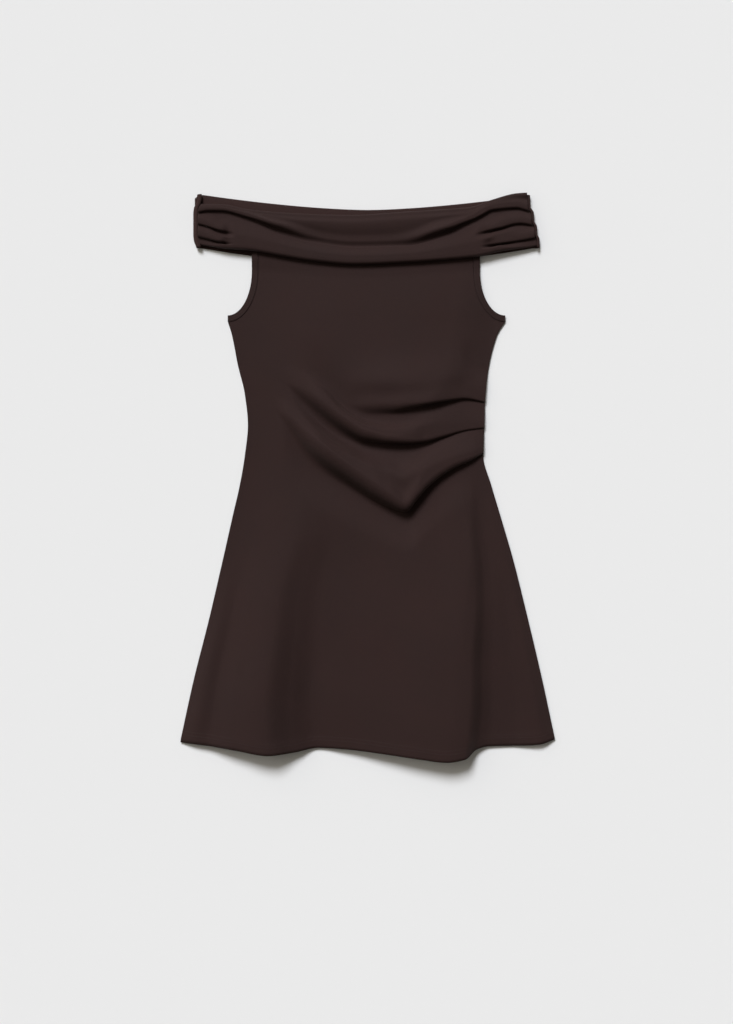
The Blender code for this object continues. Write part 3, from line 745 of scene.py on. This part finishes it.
def back_points():
    """Rows by height from the neckline to the hem; height is the table's or the band's."""
    across = crowded(BACK_COLUMNS, PANEL_CROWDING)
    neck_levels = np.linspace(BACK_NECK - SEAM_GAP / 2, ARMHOLE_TOP, BACK_NECK_ROWS, endpoint=False)
    levels = np.concatenate([neck_levels, ARMHOLE_LEVELS])
    up = levels[:, None] * np.ones_like(across)
    share = np.linspace(0.0, 1.0, BACK_SKIRT_ROWS + 1)[1:, None]
    up = np.concatenate([up, mix(up[-1:], hem_line(across) + BACK_HEM_INSET, share)])
    x = panel_x(up, across)
    return np.stack([x, up, back_height(x, up)], axis=-1)


back_grid = back_points()
back = cloth_sheet("dress_back", back_grid, CLOTH)
back_flat = flat_size(back_grid)
print("back:", back_grid.shape, "flat size and area:", np.round(back_flat, 3))

# %% [markdown]
# The band's front. One profile carried across the chest: an inner layer from the neckline seam up
# to the top fold, the outer layer with its tucks and its sagging trough, and a lower edge that
# rolls under.


# %% Band front
BAND_COLUMNS = 190
BAND_CROWDING = 0.65
HALF_TURN_ROWS = 11
INNER_ROWS = 8
TUCK_STRIPS = (16, 10, 10)
TUCK_STEPS = 5
ROLL_STRIPS = 14


def band_start(up):
    """Where the band's two halves meet at the left, rounded at both corners."""
    return through(BAND_START_ROWS, BAND_START_NAMES, "up", "left", up)


def band_end(up):
    """Where the band's two halves meet at the right, in steps from pleat to pleat."""
    return through(BAND_END_ROWS, BAND_END_NAMES, "up", "right", up)


def inner_end(up):
    """Where the hidden inner layers meet at the right: a straight slant."""
    return INNER_END_LOW - INNER_END_SLANT * (up - BAND_END_ROWS[1][0])


def band_front_points():
    """Inner layer, top bend, three tucks with strips between, and the rolled lower edge."""
    across = crowded(BAND_COLUMNS, BAND_CROWDING)
    top, first, second, third, low = (
        through(BAND_ROWS, BAND_NAMES, "across", name, across) for name in BAND_NAMES[1:]
    )

    def x_at(up):
        """x = start + (end - start) across."""
        return mix(band_start(up), band_end(up), across)

    x = x_at(mix(top, low, 0.5))
    from_left = x - BAND_LEFT
    from_right = band_end(mix(top, low, 0.5)) - x
    middle = smooth(np.minimum(from_left, from_right) / BAND_EASE)
    deck = mix(BAND_END_DECK, BAND_MID_DECK, middle)
    inner_edge = neck(x) + SEAM_GAP / 2
    inside = mix(BAND_END_DECK - LINING_STEP, front_floor(x, inner_edge), middle)
    crown = deck + mix(BAND_END_CROWN, BAND_TOP_RISE, middle)

    def height_at(up):
        """The deck, with a crest above the first tuck and the full roll below it."""
        above = np.clip((up - first) / (top - first), 0.0, 1.0)
        below = np.clip((first - up) / (first - low), 0.0, 1.0)
        crest = BAND_CREST_RISE * np.sin(np.pi * above**BAND_CREST_SKEW)
        roll = BAND_ROLL_RISE * smooth(below / BAND_ROLL_REACH)
        return deck + middle * (BAND_TOP_RISE * smooth(above) + crest + roll)

    bend_angles = np.linspace(0.0, np.pi, HALF_TURN_ROWS)[:, None]
    radius = (crown - inside) / 2
    crest = top - radius
    inner_rows = mix(inner_edge, crest, (np.arange(INNER_ROWS) / INNER_ROWS)[:, None])
    ups = [inner_rows, crest + radius * np.sin(bend_angles)]
    heights = [inside + np.zeros_like(inner_rows), inside + radius * (1.0 - np.cos(bend_angles))]
    none = np.zeros_like(crest)
    start, level, plateau, before = crest, crown, none, 1.0 + none
    for edge, tuck, count in zip((first, second, third), TUCKS, TUCK_STRIPS):
        values = dict(zip(TUCK_NAMES, tuck))
        left = smooth(
            (from_left - values["left_hold"]) / (values["left_reach"] - values["left_hold"])
        )
        right = smooth(
            (from_right - values["right_hold"]) / (values["right_reach"] - values["right_hold"])
        )
        free = np.minimum(left, right)
        turn = mix(180.0, values["rest"], free)
        lap = np.maximum(TUCK_SHORTEST_LAP, values["lap"] * (1.0 - free / 2))
        opened = smooth((TUCK_OPENS - turn) / (TUCK_OPENS - TUCK_OPEN))
        crown_bend = mix(TUCK_CROWN, values["crown"], opened)
        bend = mix(TUCK_BEND, values["bend"], opened)
        foot = mix(height_at(edge), deck, smooth(turn / TUCK_SHOWS))
        fold_up, fold_height, drop, shown = fold_rows(
            edge, lap, turn, crown_bend, bend, foot, TUCK_STEPS, TUCK_SPREAD, height_at
        )
        full = folded(turn)
        up, height = strip(
            start, fold_up[:1], (level, foot + drop), (plateau, full * (lap + bend)),
            (before, shown), TUCK_EASE, count, height_at, 0.0,
        )
        ups += [up, fold_up]
        heights += [height, fold_height]
        start, level, before = fold_up[-1:], foot, shown
        plateau = full * (lap + bend + TUCK_LEDGE)
    under = mix(BAND_END_DECK - LINING_STEP, BAND_UNDER_MID, middle)
    brow = mix(BAND_END_DECK, BAND_BROW_MID, middle)
    radius = (brow - under) / 2
    end = low + radius
    up, height = strip(
        start, end, (level, brow), (plateau, none), (before, 1.0 + none),
        TUCK_EASE, ROLL_STRIPS, height_at, 0.0,
    )
    ups += [up, end - radius * np.sin(bend_angles), mix(end, low + BAND_UNDER_WIDTH, 0.5)]
    heights += [height, brow - radius * (1.0 - np.cos(bend_angles)), under]
    up = np.concatenate(ups + [low + BAND_UNDER_WIDTH])
    height = np.concatenate(heights + [under])
    x = x_at(up)
    hidden = list(range(INNER_ROWS + 1)) + [-1]
    x[hidden] = mix(BAND_LEFT, inner_end(up[hidden]), across)
    return np.stack([x, up, height], axis=-1)


band_front_grid = band_front_points()
band_front = cloth_sheet("band_over_chest", band_front_grid, CLOTH)
band_front_flat = flat_size(band_front_grid)
print("band front:", band_front_grid.shape, "flat:", np.round(band_front_flat, 3))

# %% [markdown]
# The band's back. Its outer layer lies on the table, turns over at the top fold and comes down
# inside, where a crescent of cloth shows above the chest; its knit is painted lighter, a painted
# highlight for the light this crescent catches. At both ends the cloth curls up and over to meet
# the front.


# %% Band back
OUTER_ROWS = 25
LINING_ROWS = 13
FLAT_COLUMNS = 90
WRAP_COLUMNS = 17


def band_back_points():
    """A half circle round each end and round the top fold, both at once, and flat between."""
    steps = column(BAND_END_ROWS, BAND_END_NAMES, "up")[1:-1]
    outer_low, outer_top = band_low(BAND_HALF), band_top(BAND_HALF) - LINING_STEP / 2
    stops = np.array([0.0, *((steps - outer_low) / (outer_top - outer_low)), 1.0])
    shares = np.interp(
        np.linspace(0.0, 1.0, OUTER_ROWS), np.linspace(0.0, 1.0, len(stops)), stops,
    )
    rows = [("outer", share, 0.0) for share in shares]
    rows += [("outer", 1.0, turn) for turn in np.linspace(0.0, 180.0, HALF_TURN_ROWS)[1:]]
    rows += [("inner", share, 180.0) for share in np.linspace(1.0, 0.0, LINING_ROWS)[1:]]
    flat = np.linspace(0.0, 1.0, FLAT_COLUMNS)[1:-1]
    wrap = np.linspace(np.pi, 0.0, WRAP_COLUMNS)
    radius = (BAND_END_DECK - ON_FLOOR) / 2
    grid = []
    for layer, share, turn in rows:
        left = band_start(mix(outer_low, outer_top, share) - BAND_END_SHIFT) - BAND_SEAM_GAP
        lift = LINING_STEP / 2 * (1.0 - np.cos(np.radians(turn)))
        bulge = LINING_STEP / 2 * np.sin(np.radians(turn))
        if layer == "outer":
            right = band_end(mix(outer_low, outer_top, share) - BAND_END_SHIFT) + BAND_SEAM_GAP
        else:
            left = BAND_LEFT - BAND_SEAM_GAP
            right = inner_end(mix(BACK_NECK, outer_top, share)) + BAND_SEAM_GAP
        around = radius - lift
        xs = np.concatenate([
            [left],
            left - BAND_WRAP - around * np.sin(wrap),
            mix(left - BAND_WRAP, right, flat),
            right + around * np.sin(wrap[::-1]),
        ])
        zs = ON_FLOOR + radius - around * np.concatenate([
            [-1.0], np.cos(wrap), np.ones_like(flat), np.cos(wrap[::-1]),
        ])
        reach = np.clip(xs, -BAND_HALF, BAND_HALF)
        edge = band_low(reach)
        if layer == "inner":
            edge = BACK_NECK + SEAM_GAP / 2 + INNER_EASE * smooth(np.abs(reach) / BAND_HALF)
        up = mix(edge, band_top(reach) - LINING_STEP / 2, share) + bulge
        grid.append(np.stack([xs, up, zs], axis=-1))
    return np.array(grid)


band_back_grid = band_back_points()
band_back = cloth_sheet("band_behind", band_back_grid, CLOTH, even=False)
band_back_flat = flat_size(band_back_grid)
print("band back:", band_back_grid.shape, "flat:", np.round(band_back_flat, 3))

# %% [markdown]
# Armhole bindings. Each armhole edge is a turned strip about 9 mm wide, a little thicker than the
# panel beside it. It follows the armhole's ellipse, so it is drawn by angle.


# %% Armhole bindings
BINDING_COLUMNS = 13
BINDING_CURVE_ROWS = 61
BINDING_STRAIGHT_ROWS = 24


def binding_points(side, layer):
    """A strip between two ellipses, straight above the armhole's top."""
    insets = np.linspace(BINDING_WIDTH, 0.0, BINDING_COLUMNS)[None, :]
    turns = np.linspace(0.0, 90.0, BINDING_CURVE_ROWS)[:, None]
    x, up = armhole_edge(side, insets, turns)
    top = neck(x[:1]) if layer == "front" else np.full_like(x[:1], BACK_NECK)
    straight = np.linspace(0.0, 1.0, BINDING_STRAIGHT_ROWS, endpoint=False)[:, None]
    up = np.concatenate([mix(top - SEAM_GAP, ARMHOLE_TOP, straight), up])
    x = np.concatenate([np.repeat(x[:1], BINDING_STRAIGHT_ROWS, axis=0), x])
    height = back_height(x, up) + (BINDING_CLOTH - CLOTH) / 2
    if layer == "front":
        height = height + BINDING_CLOTH + LAYER_GAP + front_height(x, up) - front_floor(x, up)
    points = np.stack([x, up, height], axis=-1)
    return points if side == "right" else points[:, ::-1]


binding_grids = {
    (side, layer): binding_points(side, layer)
    for side in ("left", "right")
    for layer in ("front", "back")
}
bindings = {
    key: cloth_sheet("binding_" + "_".join(key), grid, BINDING_CLOTH, coordinates=ANY_WAY)
    for key, grid in binding_grids.items()
}
print("bindings:", ", ".join(piece.name for piece in bindings.values()))

# %% [markdown]
# Stitches. The hem is turned up and held by two rows of stitches, and one row holds each binding.
# A stitch is a short round thread that comes out of the cloth, lies on it and goes back in: a
# ring of points swept along a low arch. All the stitches of a row are one mesh.

# %% Stitches
THREAD = 0.28
STITCH_LENGTH = 2.6
STITCH_PITCH = 3.3
FIRST_STITCH = 0.8
STITCH_RINGS = 6
STITCH_SIDES = 6
ARCH_RISE = 0.9
ARCH_SINK = 0.5
THREAD_END = 0.35
HEM_STITCH_ROWS = (11.5, 16.5)
BINDING_STITCH_INSET = 7.2
BINDING_STITCH_TOP = 330.0
HEM_PATH = (0.004, 0.996, 500)
BACK_HEM_PATH = (0.01, 0.99, 400)
BINDING_PATH = (0.0, 88.0, 80)
BINDING_STRAIGHT_POINTS = 20


def stitches(name, path):
    """Rings of radius r (end + (1 - end) sqrt(sin(pi t))) along an arch of height sin(pi t)."""
    step = np.linalg.norm(np.diff(path, axis=0), axis=-1)
    walk = np.insert(np.cumsum(step), 0, 0.0)
    starts = np.arange(FIRST_STITCH, walk[-1] - STITCH_LENGTH, STITCH_PITCH)
    t = np.linspace(0.0, 1.0, STITCH_RINGS)
    arch = np.sin(np.pi * t).clip(0.0)
    at = starts[:, None] + t[None, :] * STITCH_LENGTH
    centre = np.stack([np.interp(at, walk, path[:, i]) for i in range(3)], axis=-1)
    centre[..., 2] += THREAD * (ARCH_RISE * arch - ARCH_SINK)[None, :]
    run = np.gradient(centre, axis=1)
    run = run / np.linalg.norm(run, axis=-1, keepdims=True)
    aside = np.cross(run, [0.0, 0.0, 1.0])
    aside = aside / np.linalg.norm(aside, axis=-1, keepdims=True)
    above = np.cross(aside, run)
    turn = np.linspace(0.0, 2.0 * np.pi, STITCH_SIDES, endpoint=False)
    radius = (THREAD * mix(THREAD_END, 1.0, np.sqrt(arch)))[None, :, None, None]
    ring = np.cos(turn)[:, None] * aside[:, :, None] + np.sin(turn)[:, None] * above[:, :, None]
    points = centre[:, :, None] + radius * ring
    count, rings, sides, _ = points.shape
    index = np.arange(count * rings * sides).reshape(count, rings, sides)
    over = np.roll(index, -1, axis=2)
    quads = np.stack([index[:, :-1], over[:, :-1], over[:, 1:], index[:, 1:]], axis=-1)
    ends = np.concatenate([index[:, 0, ::-1], index[:, -1]])
    mesh = bpy.data.meshes.new(name)
    faces = quads.reshape(-1, 4).tolist() + ends.tolist()
    mesh.from_pydata(((points - PLAN_ORIGIN).reshape(-1, 3) * MM).tolist(), [], faces)
    mesh.shade_smooth()
    return link(name, mesh), count


def hem_path(above):
    """A line on the front, parallel to its hem."""
    across = np.linspace(*HEM_PATH)[None, :]
    up = hem_line(across) + above
    x = panel_x(up, across)
    height = front_height(x, up) + ripple(x, up) + hem_turning(above) + CLOTH / 2
    return np.stack([x, up, height], axis=-1)[0]


def back_hem_path(above):
    """A line on the inside of the back, parallel to its hem."""
    across = np.linspace(*BACK_HEM_PATH)[None, :]
    up = hem_line(across) + BACK_HEM_INSET + above
    x = panel_x(up, across)
    return np.stack([x, up, np.full_like(x, CLOTH)], axis=-1)[0]


def binding_path(side):
    """A line on a front binding, parallel to the armhole's edge."""
    turns = np.linspace(*BINDING_PATH)
    x, up = armhole_edge(side, BINDING_STITCH_INSET, turns)
    straight = np.linspace(
        BINDING_STITCH_TOP, ARMHOLE_TOP, BINDING_STRAIGHT_POINTS, endpoint=False,
    )
    up = np.concatenate([straight, up])
    x = np.concatenate([np.full_like(straight, x[0]), x])
    height = back_height(x, up) + 2 * BINDING_CLOTH + LAYER_GAP - CLOTH / 2
    height = height + front_height(x, up) - front_floor(x, up)
    return np.stack([x, up, height], axis=-1)


threads = []
for number, above in enumerate(HEM_STITCH_ROWS, start=1):
    threads.append(stitches(f"hem_stitches_front_{number}", hem_path(above)))
    threads.append(stitches(f"hem_stitches_back_{number}", back_hem_path(above)))
for side in ("left", "right"):
    threads.append(stitches(f"binding_stitches_{side}", binding_path(side)))
print("stitches:", sum(count for _, count in threads))

# %% [markdown]
# The knit. A double knit shows upright columns of tiny V stitches. Its colour hardly varies, and
# its surface is matt with a faint bloom where light grazes the fibres. The pattern is worked out
# from the UV map, which is in metres: a column is 0.8 mm wide and a stitch 0.6 mm high. The same
# knit is painted lighter on the band's back, a painted highlight for the light that the crescent of
# its inside catches above the chest, and it is a little darker on the bindings.

# %% Knit material
KNIT_BROWN = (0.0234, 0.0101, 0.0089)
THREAD_BROWN = (0.026, 0.014, 0.012)
# Painted highlight: the band's back is made this much lighter to stand in for the light on its
# inside crescent.
INSIDE_PAINTED_LIGHT_TONE = 1.32
BINDING_TONE = 0.96
WALE = 0.0008
COURSE = 0.0006
V_SLANT = 0.8
LOOP_SHARE = 0.35
FUZZ_NOISE = (900.0, 3.0)
WEAR_NOISE = (14.0, 4.0)
FUZZ_TINT = 0.35
TINT_RANGE = (0.90, 1.10)
TINT_STOPS = (0.30, 0.72)
STITCH_BUMP = (0.00012, 0.6)
FUZZ_BUMP = (0.0004, 0.35)
ROUGHNESS = 0.72
ROUGHNESS_WEAR = 0.12
SHEEN_TINT = (0.80, 0.62, 0.56)
TWIST_SCALE = 900.0
TWIST_BUMP = (0.0001, 0.5)


def math_node(tree, operation, first, second=None):
    """One Math node; an input is a number or another node's output."""
    node = tree.nodes.new("ShaderNodeMath")
    node.operation = operation
    for socket, value in zip(node.inputs, (first, second)):
        if isinstance(value, (int, float)):
            socket.default_value = value
        elif value is not None:
            tree.links.new(value, socket)
    return node.outputs[0]


def noise_node(tree, vector, scale, detail):
    """A Noise Texture's value on the given coordinates."""
    node = tree.nodes.new("ShaderNodeTexNoise")
    node.inputs["Scale"].default_value = scale
    node.inputs["Detail"].default_value = detail
    tree.links.new(vector, node.inputs["Vector"])
    return node.outputs[0]


def bump_node(tree, height, distance, strength, before=None):
    """A Bump node of the given depth in metres, on top of another bump."""
    node = tree.nodes.new("ShaderNodeBump")
    node.inputs["Distance"].default_value = distance
    node.inputs["Strength"].default_value = strength
    tree.links.new(height, node.inputs["Height"])
    if before is not None:
        tree.links.new(before, node.inputs["Normal"])
    return node.outputs[0]


def knit_material(name, colour, tone=1.0):
    """V stitches: sin(2 pi (v / course + slant |frac(u / wale) - 0.5|)) beside a wale's groove."""
    material = bpy.data.materials.new(name)
    material.use_nodes = True
    tree = material.node_tree
    shader = tree.nodes["Principled BSDF"]
    uv = tree.nodes.new("ShaderNodeTexCoord").outputs["UV"]
    place = tree.nodes.new("ShaderNodeTexCoord").outputs["Object"]
    split = tree.nodes.new("ShaderNodeSeparateXYZ")
    tree.links.new(uv, split.inputs[0])
    wale = math_node(tree, "MULTIPLY", split.outputs["X"], 1.0 / WALE)
    course = math_node(tree, "MULTIPLY", split.outputs["Y"], 1.0 / COURSE)
    beside = math_node(tree, "SUBTRACT", math_node(tree, "FRACT", wale), 0.5)
    beside = math_node(tree, "ABSOLUTE", beside)
    slant = math_node(tree, "ADD", course, math_node(tree, "MULTIPLY", beside, V_SLANT))
    loops = math_node(tree, "SINE", math_node(tree, "MULTIPLY", slant, 2.0 * math.pi))
    ridge = math_node(tree, "COSINE", math_node(tree, "MULTIPLY", beside, 2.0 * math.pi))
    stitch = math_node(tree, "ADD", math_node(tree, "MULTIPLY", loops, LOOP_SHARE), ridge)
    fuzz = noise_node(tree, place, *FUZZ_NOISE)
    wear = noise_node(tree, place, *WEAR_NOISE)
    bump = bump_node(tree, stitch, *STITCH_BUMP)
    bump = bump_node(tree, fuzz, *FUZZ_BUMP, bump)
    tree.links.new(bump, shader.inputs["Normal"])
    ramp = tree.nodes.new("ShaderNodeValToRGB")
    for stop, place_on_ramp, tint in zip(ramp.color_ramp.elements, TINT_STOPS, TINT_RANGE):
        stop.position = place_on_ramp
        stop.color = (*(channel * tint * tone for channel in colour), 1.0)
    wear_tint = math_node(tree, "MULTIPLY", wear, 1.0 - FUZZ_TINT)
    fuzz_tint = math_node(tree, "MULTIPLY", fuzz, FUZZ_TINT)
    tree.links.new(math_node(tree, "ADD", wear_tint, fuzz_tint), ramp.inputs["Fac"])
    tree.links.new(ramp.outputs["Color"], shader.inputs["Base Color"])
    rough = math_node(tree, "MULTIPLY", wear, ROUGHNESS_WEAR)
    tree.links.new(math_node(tree, "ADD", rough, ROUGHNESS), shader.inputs["Roughness"])
    shader.inputs["Specular IOR Level"].default_value = 0.22
    shader.inputs["Sheen Weight"].default_value = 0.06
    shader.inputs["Sheen Roughness"].default_value = 0.45
    shader.inputs["Sheen Tint"].default_value = (*SHEEN_TINT, 1.0)
    material.diffuse_color = (*colour, 1.0)
    return material


def thread_material():
    """Twisted thread: fine slanted stripes across it as bump, a little shinier than the knit."""
    material = bpy.data.materials.new("brown_thread")
    material.use_nodes = True
    tree = material.node_tree
    shader = tree.nodes["Principled BSDF"]
    place = tree.nodes.new("ShaderNodeTexCoord").outputs["Object"]
    twist = tree.nodes.new("ShaderNodeTexWave")
    twist.inputs["Scale"].default_value = TWIST_SCALE
    tree.links.new(place, twist.inputs["Vector"])
    tree.links.new(bump_node(tree, twist.outputs[0], *TWIST_BUMP), shader.inputs["Normal"])
    shader.inputs["Base Color"].default_value = (*THREAD_BROWN, 1.0)
    shader.inputs["Roughness"].default_value = 0.6
    shader.inputs["Specular IOR Level"].default_value = 0.3
    material.diffuse_color = (*THREAD_BROWN, 1.0)
    return material


knit = knit_material("brown_double_knit", KNIT_BROWN)
# The band's back gets the knit made lighter: a painted highlight for the light its inside crescent
# catches.
painted_light_inside_knit = knit_material("brown_knit_inside_painted_light", KNIT_BROWN, tone=INSIDE_PAINTED_LIGHT_TONE)
binding_knit = knit_material("brown_binding_knit", KNIT_BROWN, tone=BINDING_TONE)
thread = thread_material()
for piece in (front, back, band_front):
    piece.data.materials.append(knit)
band_back.data.materials.append(painted_light_inside_knit)
for piece in bindings.values():
    piece.data.materials.append(binding_knit)
for piece, _ in threads:
    piece.data.materials.append(thread)
print("materials:", knit.name, painted_light_inside_knit.name, binding_knit.name, thread.name)

# %% [markdown]
# Every sheet of cloth stands for one solid and rides on the dress's single body.

thread_pieces = {piece.name: piece for piece, _ in threads}
front_hem = [thread_pieces[f"hem_stitches_front_{number}"] for number in (1, 2)]
back_hem = [thread_pieces[f"hem_stitches_back_{number}"] for number in (1, 2)]
SHEETS = (
    (front, "front_panel", front_flat, ["back_panel"], front_hem),
    (back, "back_panel", back_flat, ["band_back"], back_hem),
    (band_front, "band_front", band_front_flat, ["front_panel"], []),
    (band_back, "band_back", band_back_flat, [], []),
)
for piece, node, (width, length, area), rests_on, sewn in SHEETS:
    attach(piece, "root")
    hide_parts(node)
for (side, layer), piece in bindings.items():
    width, length, area = flat_size(binding_grids[side, layer])
    width += CLOTH * MM
    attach(piece, "root")
    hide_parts(f"armhole_binding_{side}_{layer}")
    sewn = [thread_pieces[f"binding_stitches_{side}"]] if layer == "front" else []
for piece, _ in threads:
    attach(piece, "root")

# %% [markdown]
# The table, the light and the camera. The dress is seen from straight above in soft, even light
# that comes from the top of the picture and a little from its left, so the shadows fall towards
# the hem. A sun lamp with a wide disc gives the same soft shadow everywhere. A much wider one
# stands for a softbox, and it and the dim world fill the shadows in with a warm tint. The first
# lamp's own tint is worked out so that the table stays neutral.

# %% Table, light and camera
TABLE_GREY = (0.80, 0.80, 0.80)
TABLE_SIZE = 40.0
TABLE_DROP = 0.0002
SUN_HEIGHT = 46.0
SUN_FROM_LEFT = 20.0
SUN_SOFTNESS = 22.0
SUN_STRENGTH = 3.06
SOFTBOX_HEIGHT = 36.0
SOFTBOX_FROM_LEFT = 50.0
SOFTBOX_SOFTNESS = 60.0
SOFTBOX_STRENGTH = 0.85
WORLD_STRENGTH = 0.170
FILL_TINT = np.array([1.0, 0.945, 0.83])

table_mesh = bpy.data.meshes.new("table")
half = TABLE_SIZE / 2
corners = [(-half, -half), (half, -half), (half, half), (-half, half)]
table_mesh.from_pydata([(x, y, -TABLE_DROP) for x, y in corners], [], [(0, 1, 2, 3)])
table = link("table", table_mesh)
table_paint = bpy.data.materials.new("table_paint")
table_paint.use_nodes = True
table_shader = table_paint.node_tree.nodes["Principled BSDF"]
table_shader.inputs["Base Color"].default_value = (*TABLE_GREY, 1.0)
table_shader.inputs["Roughness"].default_value = 0.9
table_shader.inputs["Specular IOR Level"].default_value = 0.0
table.data.materials.append(table_paint)

world = bpy.data.worlds.new("studio")
bpy.context.scene.world = world
world.use_nodes = True
world.node_tree.nodes["Background"].inputs["Color"].default_value = (*FILL_TINT, 1.0)
world.node_tree.nodes["Background"].inputs["Strength"].default_value = WORLD_STRENGTH


def on_table(strength, height):
    """What a far light gives a flat matt table: strength sin(height) / pi."""
    return strength * math.sin(math.radians(height)) / math.pi


def far_light(name, height, from_left, softness, strength, tint):
    """A sun lamp at a height in degrees, turned from the picture's top towards its left."""
    data = bpy.data.lights.new(name, "SUN")
    data.energy = strength
    data.color = tint
    data.angle = math.radians(softness)
    lamp = bpy.data.objects.new(name, data)
    bpy.context.scene.collection.objects.link(lamp)
    lamp.rotation_euler = (math.radians(height - 90.0), 0.0, math.radians(from_left))
    return lamp


fill = WORLD_STRENGTH + on_table(SOFTBOX_STRENGTH, SOFTBOX_HEIGHT)
key_tint = 1.0 + (1.0 - FILL_TINT) * fill / on_table(SUN_STRENGTH, SUN_HEIGHT)
far_light("key_light", SUN_HEIGHT, SUN_FROM_LEFT, SUN_SOFTNESS, SUN_STRENGTH, key_tint)
far_light(
    "wide_softbox", SOFTBOX_HEIGHT, SOFTBOX_FROM_LEFT, SOFTBOX_SOFTNESS, SOFTBOX_STRENGTH,
    FILL_TINT,
)
print("key light's tint, so that the table stays neutral:", np.round(key_tint, 3))

CAMERA_HEIGHT = 2.2
PICTURE_LENGTH = 1.4894
SENSOR = 36.0
LOOK_X = -1.5
LOOK_UP = -49.5
camera_data = bpy.data.cameras.new("camera")
camera_data.sensor_width = SENSOR
camera_data.lens = SENSOR * CAMERA_HEIGHT / PICTURE_LENGTH
camera = bpy.data.objects.new("camera", camera_data)
bpy.context.scene.collection.objects.link(camera)
camera.location = (
    (LOOK_X - PLAN_ORIGIN[0]) * MM,
    (LOOK_UP - PLAN_ORIGIN[1]) * MM,
    CAMERA_HEIGHT,
)
bpy.context.scene.camera = camera
bpy.context.scene.view_settings.view_transform = "Standard"
print("camera at", tuple(round(value, 3) for value in camera.location))
